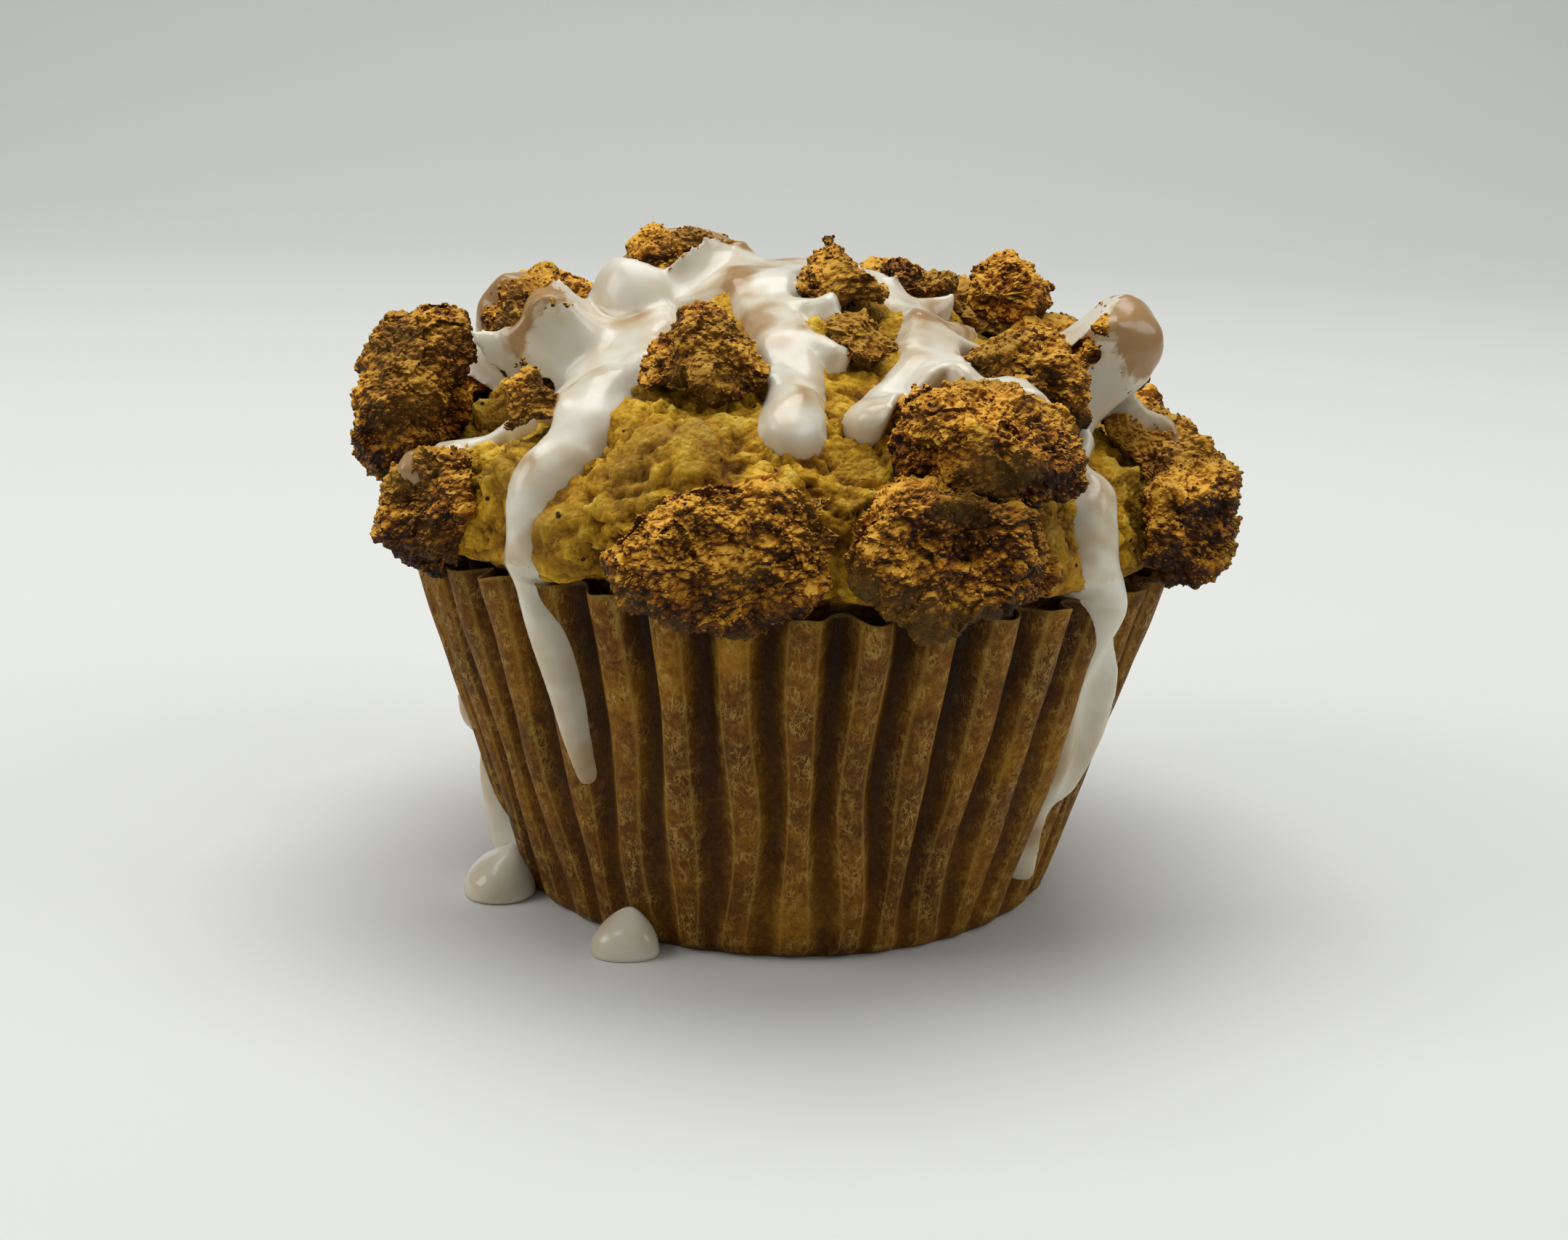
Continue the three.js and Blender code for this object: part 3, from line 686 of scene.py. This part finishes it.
# Hollows broken into the faces of the crumbs: middle in millimetres, reach and depth, below 0 for a swelling.
HOLLOWS = {
    "crumb_front_left": [((-5.0, -39.6, 38.4), 4.4, 1.9), ((-12, -38, 39.5), 2.2, 0.8)],
    "crumb_front_low": [((13.0, -37.2, 40.2), 4.4, 2.4), ((6.5, -36.2, 36.5), 2.4, 0.9)],
    "crumb_front_high": [((11.5, -33.5, 44.5), 2.6, 1.0), ((18.5, -33.0, 44.0), 2.8, 1.0)],
    "crumb_left_outer": [((-35.0, -13.5, 46.5), 3.4, 1.2)],
    "crumb_right_outer": [((35.0, -20.5, 38.0), 3.2, 1.4)],
    "crumb_centre": [((-7.5, -26, 45.5), 3.4, 1.7)],
    "crumb_left_rim": [((-30.5, -24.3, 37.3), 3.0, 1.2)],
    "crumb_top_right": [((18.8, 1.6, 54.2), 2.4, 1.7)],
    "crumb_peak": [((-6.5, 0, 60.0), 4.0, 2.2)],
    "crumb_top_middle": [((5.5, -9.0, 56.5), 3.8, -1.6)],
}


def crumb_tree(material):
    """A crumb's broken faces: lumps, blocks and grains raised on its solid, with loose grains on them."""
    sizes = {
        "Lump height": 5.0 * MM,
        "Lump size": 5.5 * MM,
        "Block height": 0.85 * MM,
        "Block size": 2.8 * MM,
        "Grain height": 0.5 * MM,
        "Grain size": 0.8 * MM,
        "Grains": FRONT_GRAINS,
    }
    tree, source, output = relief_tree("crumb_relief", sizes)
    given = source.outputs
    place = add(tree, "GeometryNodeInputPosition").outputs[0]
    moved = swirled(tree, place, 1.6 * MM, 0.9 * MM)
    lump = calc(tree, "SUBTRACT", noise(tree, place, given["Lump size"], 2.0, 0.5), 0.5)
    block = calc(tree, "SUBTRACT", cells(tree, moved, given["Block size"], output="Color"), 0.5)
    grain = calc(tree, "SUBTRACT", 0.4, cells(tree, moved, given["Grain size"]))
    fine = calc(tree, "SUBTRACT", 0.4, cells(tree, place, 0.46 * MM))
    rough = calc(tree, "SUBTRACT", noise(tree, place, 1.6 * MM, 3.0, 0.55), 0.5)
    height = total(
        tree,
        calc(tree, "MULTIPLY", lump, given["Lump height"]),
        calc(tree, "MULTIPLY", block, given["Block height"]),
        calc(tree, "MULTIPLY", grain, given["Grain height"]),
        calc(tree, "MULTIPLY", fine, 0.3 * MM),
        calc(tree, "MULTIPLY", rough, 0.7 * MM),
        -0.1 * MM,
    )
    broken = raise_surface(tree, given["Surface"], height, 40)
    grains = scattered(tree, broken, given["Grains"], 0.08 * MM, 0.24 * MM, 11, (0.0, 0.5 * MM))
    close_tree(tree, output, [broken, grains], material)
    return tree


def hollowed(mesh, hollows):
    """Pushes each hollow into the mesh, towards the middle of the cake."""
    points = vertex_array(mesh)
    for middle, reach, depth in hollows:
        place = np.array(middle) * MM
        away = np.linalg.norm(points - place, axis=1)
        inwards = np.array([0, 0, 40 * MM]) - place
        inwards[2] *= 0.3
        inwards /= np.linalg.norm(inwards)
        points += np.outer(depth * MM * np.exp(-((away / (reach * MM)) ** 2)), inwards)
    set_vertices(mesh, points)


# The icing

# Stations of each stream: azimuth and elevation from the heart in degrees, and half the width in millimetres.
STREAMS = {
    "drip_left": [(-39, 43, 2.8), (-35, 34, 2.5), (-36, 29, 2.2), (-37, 24, 1.85), (-37, 19, 1.8),
                  (-38.5, 13, 1.9), (-36, 6, 1.75), (-35, 0, 1.5), (-34.5, -9, 1.15), (-34, -18, 0.75)],
    "left_branch": [(-60, 49, 2.1), (-53, 43, 2.1), (-54, 38, 2.0), (-60, 33, 1.9), (-62, 28, 1.5),
                    (-58, 24.5, 1.1), (-55, 22, 0.7)],
    "left_saddle": [(-62, 46, 1.4), (-67, 43.5, 2.1), (-70.5, 41.5, 1.6)],
    "mass_right": [(-70, 64, 2.0), (-49, 56, 2.0), (-41, 48, 1.9)],
    "mass_left": [(-82, 60, 2.2), (-73, 55.5, 2.9), (-65, 51, 3.1), (-62, 47, 2.2)],
    "mass_middle": [(-88, 62, 2.4), (-74, 63, 3.0), (-59, 60, 3.2), (-52, 56, 2.6)],
    "mass_top": [(-66, 70, 2.6), (-56, 74, 2.8), (-42, 77, 2.6)],
    "mass_back": [(-84, 57, 2.4), (-92, 59, 2.8), (-93, 63, 2.4)],
    "centre_left": [(-88, 62, 2.2), (-67, 57, 3.0), (-58, 52, 3.6), (-46, 47, 3.6), (-39, 43, 3.1)],
    "top": [(-80, 62, 2.0), (-71, 68, 2.4), (-68, 74, 2.8), (-70, 80, 3.0), (-60, 86, 3.0), (150, 80, 2.6)],
    "over_peak": [(-72, 75, 1.6), (-76, 79, 2.2), (-85, 83, 2.2)],
    "centre_drip": [(-40, 86, 3.0), (-24, 76, 3.2), (-9, 66, 2.7), (-3, 58, 2.7), (0, 50, 2.5), (0, 43, 2.6),
                    (0, 38, 2.9)],
    "side_lobe": [(-6, 71, 1.5), (6, 69, 1.3), (15, 67.5, 1.35)],
    "side_lobe_low": [(-2, 60, 1.6), (6, 58.5, 1.5), (11, 56, 1.4)],
    "right_patch": [(130, 80, 2.4), (95, 73, 2.4), (78, 67, 3.0), (52, 61, 3.0), (36, 55, 2.4)],
    "patch_corner": [(95, 70, 1.8), (100, 66, 1.4), (104, 62.5, 0.9)],
    "right_bulb": [(52, 58.5, 2.0), (37, 53, 2.3), (27, 49, 2.2), (18.5, 45, 2.1), (14, 41, 2.3)],
    "over_high": [(37, 52, 2.3), (36, 47, 2.2), (36, 43, 2.1), (39, 40, 1.9), (43, 37, 1.6), (49, 34, 1.3)],
    "link_low": [(66, 62, 1.8), (82, 60, 1.2), (90, 57.5, 0.6)],
    "right_link": [(48, 59, 2.0), (60, 55.5, 1.6), (72, 52.5, 1.5), (82, 50, 1.6), (80, 47, 1.2),
                   (73, 46, 0.6)],
    "right_crumb": [(84, 50, 3.2), (79, 46.5, 4.2), (74, 42.5, 4.2), (71, 38.5, 3.2), (67, 36, 2.1),
                    (58, 33, 1.4)],
    "drip_right": [(60, 33.5, 1.4), (54, 30.5, 1.1), (52, 27, 1.7), (49, 22.5, 2.3), (48, 17, 2.4),
                   (51, 11, 2.2), (54, 5, 2.1), (56, 0, 2.2), (57, -8, 2.3), (57, -15, 2.5), (56.5, -21, 1.9),
                   (56, -25, 1.1), (56, -31, 0.9), (56, -38, 1.2)],
    "far_right": [(76, 38, 1.0), (80, 36, 0.9), (80, 32.5, 0.9), (81, 29.5, 0.85), (80, 27, 0.7)],
    "drip_far": [(-112, 70, 2.2), (-104, 58, 2.0), (-106, 42, 1.7), (-104, 22, 1.5), (-98, 6, 1.2),
                 (-90, -10, 1.0), (-80, -22, 1.0), (-75.5, -30, 1.2), (-73, -37, 1.8), (-71, -41, 2.0)],
    "back_left": [(-110, 76, 2.6), (-128, 60, 2.5), (-136, 44, 2.2), (-139, 28, 1.8), (-140, 13, 1.3)],
    "back_right": [(150, 80, 2.8), (164, 62, 2.6), (171, 46, 2.2), (170, 30, 2.0), (168, 14, 1.6),
                   (167, -2, 1.2), (167, -13, 0.8)],
}

# Dips that the icing filled: the top of the fill, and how far from it the fill is 1 mm lower, in millimetres.
FILLED = [((-15.8, -2.0, 56.6), 2.7), ((13.5, -20.8, 50.0), 2.0), ((19.0, -21.6, 49.2), 2.0)]

# The grid of directions from the heart that the icing is worked out on: angles, and a cell's usual width
USUAL_REACH = 36 * MM
LEAST_REACH = 26 * MM
POUR_STEP = 0.0062
POUR_REACH = math.radians(134)
POUR_CELL = USUAL_REACH * POUR_STEP
HALF_GRID = int(POUR_REACH / POUR_STEP)
SAMPLE_STEP = 0.4 * MM
ICING_VOXEL = 0.34 * MM

# How thick the icing stands, and how far its sheet goes on under its edge
HANGING_THICKNESS = 1.6 * MM
TOP_THICKNESS = 0.65 * MM
LEAST_COVER = 0.3 * MM
SKIRT = 0.55 * MM

# Half the width, in cells, of the dips that the streams bridge, and that the sheet on top bridges
DIP_CELLS = 4
SHEET_CELLS = 12

# How far up a direction from the heart points
CASE_TOP = math.sin(math.radians(10))
CAKE_FOOT = math.sin(math.radians(22))
THICK_BELOW = math.sin(math.radians(42))
THIN_ABOVE = math.sin(math.radians(68))
SHEET_LOW = math.sin(math.radians(46))
SHEET_HIGH = math.sin(math.radians(58))


def direction_of(azimuth, elevation):
    a, e = math.radians(azimuth), math.radians(elevation)
    return np.array([math.cos(e) * math.sin(a), -math.cos(e) * math.cos(a), math.sin(e)])


def smooth_path(points):
    """Many points on the smooth curve through a few."""
    points = np.array(points, float)
    ends = np.concatenate([[2 * points[0] - points[1]], points, [2 * points[-1] - points[-2]]])
    path = []
    for i in range(1, len(ends) - 2):
        a, b, c, d = ends[i - 1:i + 3]
        steps = max(4, int(math.dist(b[:3], c[:3]) * USUAL_REACH / SAMPLE_STEP))
        for t in np.arange(steps) / steps:
            path.append(0.5 * (2 * b + (c - a) * t + (2 * a - 5 * b + 4 * c - d) * t * t
                               + (3 * b - a - 3 * c + d) * t ** 3))
    path.append(points[-1])
    return np.array(path)


def blurred(field, spread):
    """A field of the grid smoothed over a spread in metres."""
    sigma = spread / POUR_CELL
    radius = max(1, int(3 * sigma))
    steps = np.arange(-radius, radius + 1)
    kernel = np.exp(-0.5 * (steps / sigma) ** 2)
    kernel /= kernel.sum()
    padded = np.pad(field, radius, mode="edge")
    rows = np.apply_along_axis(lambda line: np.convolve(line, kernel, "valid"), 1, padded)
    return np.apply_along_axis(lambda line: np.convolve(line, kernel, "valid"), 0, rows)


def highest_near(field, steps):
    """The highest value within some cells of each one."""
    for axis in (0, 1):
        field = np.max([np.roll(field, step, axis) for step in range(-steps, steps + 1)], axis=0)
    return field


def gaps_closed(field, steps):
    """The field with its narrow dips filled."""
    return -highest_near(-highest_near(field, steps), steps)


def between(values, low, high):
    """How far each value has come from low, 0, to high, 1."""
    return np.clip((values - low) / (high - low), 0, 1)


def joined_tree(pieces):
    """One search tree over several pieces' surfaces."""
    points, faces, start = [], [], 0
    for piece in pieces:
        mesh = piece.data
        mesh.calc_loop_triangles()
        corners = np.empty(len(mesh.loop_triangles) * 3, np.int32)
        mesh.loop_triangles.foreach_get("vertices", corners)
        points.append(vertex_array(mesh))
        faces.append(corners.reshape(-1, 3) + start)
        start += len(mesh.vertices)
    return BVHTree.FromPolygons(np.concatenate(points).tolist(), np.concatenate(faces).tolist())


def cells_of(ways):
    """The row and column of each direction in the flat grid of all directions from the heart."""
    tilt = np.arccos(np.clip(ways[..., 2], -1, 1))
    turn = np.arctan2(ways[..., 0], -ways[..., 1])
    rows = np.rint(tilt * np.sin(turn) / POUR_STEP).astype(int) + HALF_GRID
    columns = np.rint(tilt * np.cos(turn) / POUR_STEP).astype(int) + HALF_GRID
    return np.clip(rows, 0, 2 * HALF_GRID), np.clip(columns, 0, 2 * HALF_GRID)


def ground_fields(tree):
    """All directions from the heart, spread flat, and how far away the dressed surface lies in each."""
    line = np.arange(-HALF_GRID, HALF_GRID + 1) * POUR_STEP
    u, v = np.meshgrid(line, line, indexing="ij")
    angle = np.hypot(u, v)
    azimuth = np.arctan2(u, v)
    ways = np.stack([np.sin(angle) * np.sin(azimuth), -np.sin(angle) * np.cos(azimuth), np.cos(angle)], -1)
    reach = np.full(u.shape, 30 * MM)
    far = 90 * MM
    for i, j in np.argwhere(angle < POUR_REACH):
        way = Vector(ways[i, j])
        distance = tree.ray_cast(HEART + way * far, -way)[3]
        if distance is not None:
            reach[i, j] = far - distance
    return ways, reach


def thickness_towards(way):
    """The icing ran thin on the top and stands thick where it hangs."""
    upwards = (way[2] - THICK_BELOW) / (THIN_ABOVE - THICK_BELOW)
    return HANGING_THICKNESS + (TOP_THICKNESS - HANGING_THICKNESS) * min(max(upwards, 0), 1)


def stream_fields(ways, ground):
    """How far inside a stream's edge each direction lies, how high the icing stands, and how thick it is."""
    spots = ways * ground[..., None]
    inside = np.full(ground.shape, -9 * MM)
    height = np.full(ground.shape, -9 * MM)
    body = np.zeros(ground.shape)
    for stations in STREAMS.values():
        path = smooth_path([(*direction_of(a, e), w) for a, e, w in stations])
        path_ways = path[:, :3] / np.linalg.norm(path[:, :3], axis=1)[:, None]
        line = np.column_stack([path_ways * ground[cells_of(path_ways)][:, None], path[:, 3] * MM])
        for start, end in zip(line, line[1:]):
            steps = max(1, int(math.dist(start[:3], end[:3]) / SAMPLE_STEP))
            for t in np.arange(steps) / steps:
                sample = start + (end - start) * t
                spot, width = sample[:3], max(sample[3], 0.4 * MM)
                way = spot / np.linalg.norm(spot)
                i, j = cells_of(way)
                tilt = math.acos(max(-1, min(1, way[2])))
                stretch = 1.0 if tilt < 0.1 else tilt / math.sin(tilt)
                window = int(stretch * (width + 2.2 * MM) / (LEAST_REACH * POUR_STEP)) + 2
                part = (slice(max(i - window, 0), i + window), slice(max(j - window, 0), j + window))
                away = np.linalg.norm(spots[part] - spot, axis=-1)
                margin = width - away
                top = min(thickness_towards(way), 0.85 * width)
                dome = top * np.sqrt(np.clip(1 - (away / width) ** 2, 0, 1))
                height[part] = np.maximum(height[part], np.where(margin > 0, dome, 1.4 * margin))
                inside[part] = np.maximum(inside[part], margin)
                shown = min(thickness_towards(way), 1.3 * width)
                body[part] = np.maximum(body[part], np.where(margin > -SKIRT, shown, 0))
    return inside, height, body


def skin_mesh(ways, outer, inner, kept):
    """A closed skin between two distances from the heart, over the kept directions."""
    quads = kept[:-1, :-1] & kept[1:, :-1] & kept[:-1, 1:] & kept[1:, 1:]
    touched = np.zeros(kept.shape, bool)
    for di in (0, 1):
        for dj in (0, 1):
            touched[di:di + quads.shape[0], dj:dj + quads.shape[1]] |= quads
    count = int(touched.sum())
    number = np.full(kept.shape, -1)
    number[touched] = np.arange(count)
    origin = np.array(HEART)
    top = origin + ways[touched] * outer[touched][:, None]
    bottom = origin + ways[touched] * inner[touched][:, None]
    i, j = np.nonzero(quads)
    ring = np.stack([number[i, j], number[i, j + 1], number[i + 1, j + 1], number[i + 1, j]], 1)
    faces = [*ring.tolist(), *(ring[:, ::-1] + count).tolist()]
    edges = {}
    for quad in ring.tolist():
        for a, b in zip(quad, quad[1:] + quad[:1]):
            edges[(a, b)] = True
    faces += [(b, a, a + count, b + count) for a, b in edges if (b, a) not in edges]
    mesh = surface_mesh("icing_skin", np.concatenate([top, bottom]), faces)
    shape = bmesh.new()
    shape.from_mesh(mesh)
    bmesh.ops.recalc_face_normals(shape, faces=shape.faces)
    shape.to_mesh(mesh)
    shape.free()
    return mesh


def icing_mesh(tree):
    """The icing over the dressed cake: streams laid on its bridged surface, thin on top and over bulges."""
    ways, reach = ground_fields(tree)
    upwards = ways[..., 2]
    bridged = gaps_closed(reach, DIP_CELLS)
    inside, height, body = stream_fields(ways, blurred(bridged, 0.5 * MM))
    level = blurred(highest_near(bridged, 1), 0.6 * MM)
    sheet = blurred(gaps_closed(reach, SHEET_CELLS), 1.1 * MM)
    cover = between(inside, 0, 1.0 * MM)
    cover = cover * cover * (3 - 2 * cover)
    bulge = between(level - blurred(level, 2.6 * MM), 0, 1.3 * MM) * between(upwards, CASE_TOP, CAKE_FOOT)
    rise = np.where(inside > -1.4 * MM, blurred(height, 0.35 * MM), height)
    rise = np.where(rise > 0, rise * (1 - 0.5 * bulge), rise)
    body *= 1 - 0.75 * bulge
    level = level + np.maximum(sheet - level, 0) * between(upwards, SHEET_LOW, SHEET_HIGH)
    for top, spread in FILLED:
        way = np.array(top) * MM - np.array(HEART)
        far = np.linalg.norm(way)
        away = np.linalg.norm(ways * far - way, axis=-1)
        level = np.maximum(level, far - MM * (away / (spread * MM)) ** 2)
    level = blurred(level, 0.3 * MM)
    outer = reach + (level - reach) * cover + rise
    least = blurred(highest_near(reach, 1), 0.2 * MM) + LEAST_COVER
    outer = np.where(inside > 0.5 * MM, np.maximum(outer, least), outer)
    inner = np.minimum(np.minimum(reach, level) - 0.9 * MM, outer - 0.4 * MM)
    kept = inside > -SKIRT
    kept[0], kept[-1], kept[:, 0], kept[:, -1] = False, False, False, False
    skin = skin_mesh(ways, outer, inner, kept)
    mesh = even_mesh(skin, ICING_VOXEL, 5, "poured_icing")
    mesh.shade_smooth()
    spots = vertex_array(mesh) - np.array(HEART)
    spot_cells = cells_of(spots / np.linalg.norm(spots, axis=1)[:, None])
    float_attribute(mesh, "thickness", blurred(body + level - reach, 0.3 * MM)[spot_cells])
    return mesh


POOL_COLUMNS = 48
POOL_ROWS = 20
POOL_FOOT = 0.45 * MM


def pool_mesh(node):
    """A set mound of icing within its solid's box: a full round edge, and a soft peak towards the case."""
    low, high = (Vector(corner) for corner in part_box(node))
    middle, half = (low + high) / 2, (high - low) / 2
    lean = -0.3 * Vector((middle.x, middle.y, 0)).normalized() * min(half.x, half.y)
    half = Vector((1.25 * half.x, 1.12 * half.y, half.z))
    turns = np.arange(POOL_COLUMNS) * 2 * math.pi / POOL_COLUMNS
    lobes = 1 - 0.05 * (1 + np.sin(2 * turns + 1)) - 0.05 * (1 + np.sin(3 * turns + middle.x / MM))
    rings = [(0.94, 0.0), (0.99, 0.5 * POOL_FOOT)]
    for out in np.linspace(1.0, 0.05, POOL_ROWS):
        mound = 0.78 * math.sqrt(1 - out ** 2) + 0.1 * math.exp(-((out / 0.45) ** 2))
        rings.append((out, POOL_FOOT + (high.z - POOL_FOOT) * mound))
    points = [(middle.x, middle.y, low.z)]
    for out, height in rings:
        folds = 1 + 0.4 * out * (1 - out) * np.sin(turns + middle.y / MM)
        shift = lean * (1 - out)
        for turn, lobe, swell in zip(turns, lobes, folds):
            x = middle.x + shift.x + out * lobe * half.x * math.cos(turn)
            y = middle.y + shift.y + out * lobe * half.y * math.sin(turn)
            points.append((x, y, low.z + height * swell))
    points.append((middle.x + lean.x, middle.y + lean.y, low.z + rings[-1][1]))
    mesh = surface_mesh(node + "_drop", points, ring_faces(len(rings), POOL_COLUMNS))
    float_attribute(mesh, "thickness", np.full(len(points), 2 * MM))
    return mesh


# The pieces, from the case up

paper = paper_material()
cake_crust = cake_material()
baked_crumb = crumb_material()
icing = icing_material()

case_piece = mesh_piece("paper_case_wall", case_mesh(), paper)
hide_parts("paper_case")

cake_shape = fine_copy("cake", CAKE_VOXEL, CAKE_SMOOTHING)
cake_surface = through_tree(cake_shape, cake_tree(cake_crust), {}, "cake_surface")
cake_surface.shade_smooth()
cake_piece = mesh_piece("cake_crag", cake_surface, cake_crust)
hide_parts("cake")

grain_tree = crumb_tree(baked_crumb)
crumb_nodes = sorted(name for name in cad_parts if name.startswith("crumb_"))
crumb_pieces = []
for node in crumb_nodes:
    at_back = any(word in node for word in BACK_WORDS)
    voxel = OTHER_CRUMB if at_back else FRONT_CRUMB
    shape = fine_copy(node, voxel, CRUMB_SMOOTHING)
    hollowed(shape, HOLLOWS.get(node, []))
    grains = OTHER_GRAINS if at_back else FRONT_GRAINS
    surface = through_tree(shape, grain_tree, {"Grains": grains}, node + "_surface")
    piece = mesh_piece(node + "_broken", surface, baked_crumb)
    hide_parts(node)
    crumb_pieces.append(piece)

icing_nodes = sorted(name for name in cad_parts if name.startswith("icing"))
pools = [name for name in icing_nodes if "pool" in name]
poured = [name for name in icing_nodes if name not in pools]
below = joined_tree([case_piece, cake_piece, *crumb_pieces])
icing_piece = mesh_piece("icing_poured", icing_mesh(below), icing)
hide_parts(*poured)

for node in pools:
    pool_piece = mesh_piece(node + "_set", pool_mesh(node), icing)
    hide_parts(node)


# The table and the light

def backdrop_material():
    material, _, shader, _ = bare_material("pale_sweep")
    shader.inputs["Base Color"].default_value = (0.74, 0.75, 0.72, 1)
    shader.inputs["Roughness"].default_value = 0.75
    shader.inputs["Specular IOR Level"].default_value = 0.2
    return material


def backdrop():
    """A pale sweep: a table that curves up into a wall."""
    front, bend, radius, top, half = -1.2, 0.5, 0.5, 1.6, 2.2
    profile = [(front, 0.0), (bend, 0.0)]
    for step in range(1, 13):
        turn = step / 12 * math.pi / 2
        profile.append((bend + radius * math.sin(turn), radius * (1 - math.cos(turn))))
    profile.append((bend + radius, top))
    points = [(x, y, z) for y, z in profile for x in (-half, half)]
    faces = [(2 * i, 2 * i + 1, 2 * i + 3, 2 * i + 2) for i in range(len(profile) - 1)]
    mesh = surface_mesh("sweep", points, faces)
    mesh.materials.append(backdrop_material())
    sweep = bpy.data.objects.new("sweep", mesh)
    bpy.context.scene.collection.objects.link(sweep)


def softbox(name, place, target, size, power, colour=(1, 1, 1)):
    light = bpy.data.lights.new(name, "AREA")
    light.shape = "RECTANGLE"
    light.size, light.size_y = size
    light.energy = power
    light.color = colour
    lamp = bpy.data.objects.new(name, light)
    lamp.location = place
    lamp.rotation_euler = (Vector(target) - Vector(place)).to_track_quat("-Z", "Y").to_euler()
    bpy.context.scene.collection.objects.link(lamp)


def studio():
    backdrop()
    softbox("overhead", (-0.03, 0.14, 0.8), (0, 0, 0.03), (0.7, 0.6), 5.3)
    softbox("left_window", (-0.62, -0.16, 0.5), (0, 0, 0.03), (0.4, 0.4), 1.7, (1, 0.99, 0.97))
    softbox("right_fill", (0.66, -0.12, 0.5), (0, 0, 0.03), (0.4, 0.4), 1.3)
    world = bpy.data.worlds.new("room")
    world.use_nodes = True
    room = world.node_tree.nodes["Background"]
    room.inputs["Color"].default_value = (0.93, 0.96, 0.93, 1)
    room.inputs["Strength"].default_value = 0.2
    bpy.context.scene.world = world
    bpy.context.scene.view_settings.view_transform = "Standard"


# The photograph's view: place in metres, and its angles in degrees
CAMERA_PLACE = (0, -210.3 * MM, 80.9 * MM)
CAMERA_PITCH = math.radians(15.27)
CAMERA_YAW = math.radians(-0.09)
CAMERA_ROLL = math.radians(1.76)
CAMERA_LENS = 53.33


def photographer():
    ahead = Vector((math.sin(CAMERA_YAW), math.cos(CAMERA_YAW), 0))
    right = Vector((math.cos(CAMERA_YAW), -math.sin(CAMERA_YAW), 0))
    view = ahead * math.cos(CAMERA_PITCH) - Vector((0, 0, math.sin(CAMERA_PITCH)))
    up = right.cross(view)
    rolled_right = right * math.cos(CAMERA_ROLL) + up * math.sin(CAMERA_ROLL)
    rolled_up = up * math.cos(CAMERA_ROLL) - right * math.sin(CAMERA_ROLL)
    turned = Matrix((rolled_right, rolled_up, -view)).transposed().to_4x4()
    lens = bpy.data.cameras.new("photographer")
    lens.sensor_width = 36
    lens.lens = CAMERA_LENS
    lens.clip_start = 0.01
    camera = bpy.data.objects.new("photographer", lens)
    camera.matrix_world = Matrix.Translation(CAMERA_PLACE) @ turned
    bpy.context.scene.collection.objects.link(camera)
    bpy.context.scene.camera = camera


studio()
photographer()
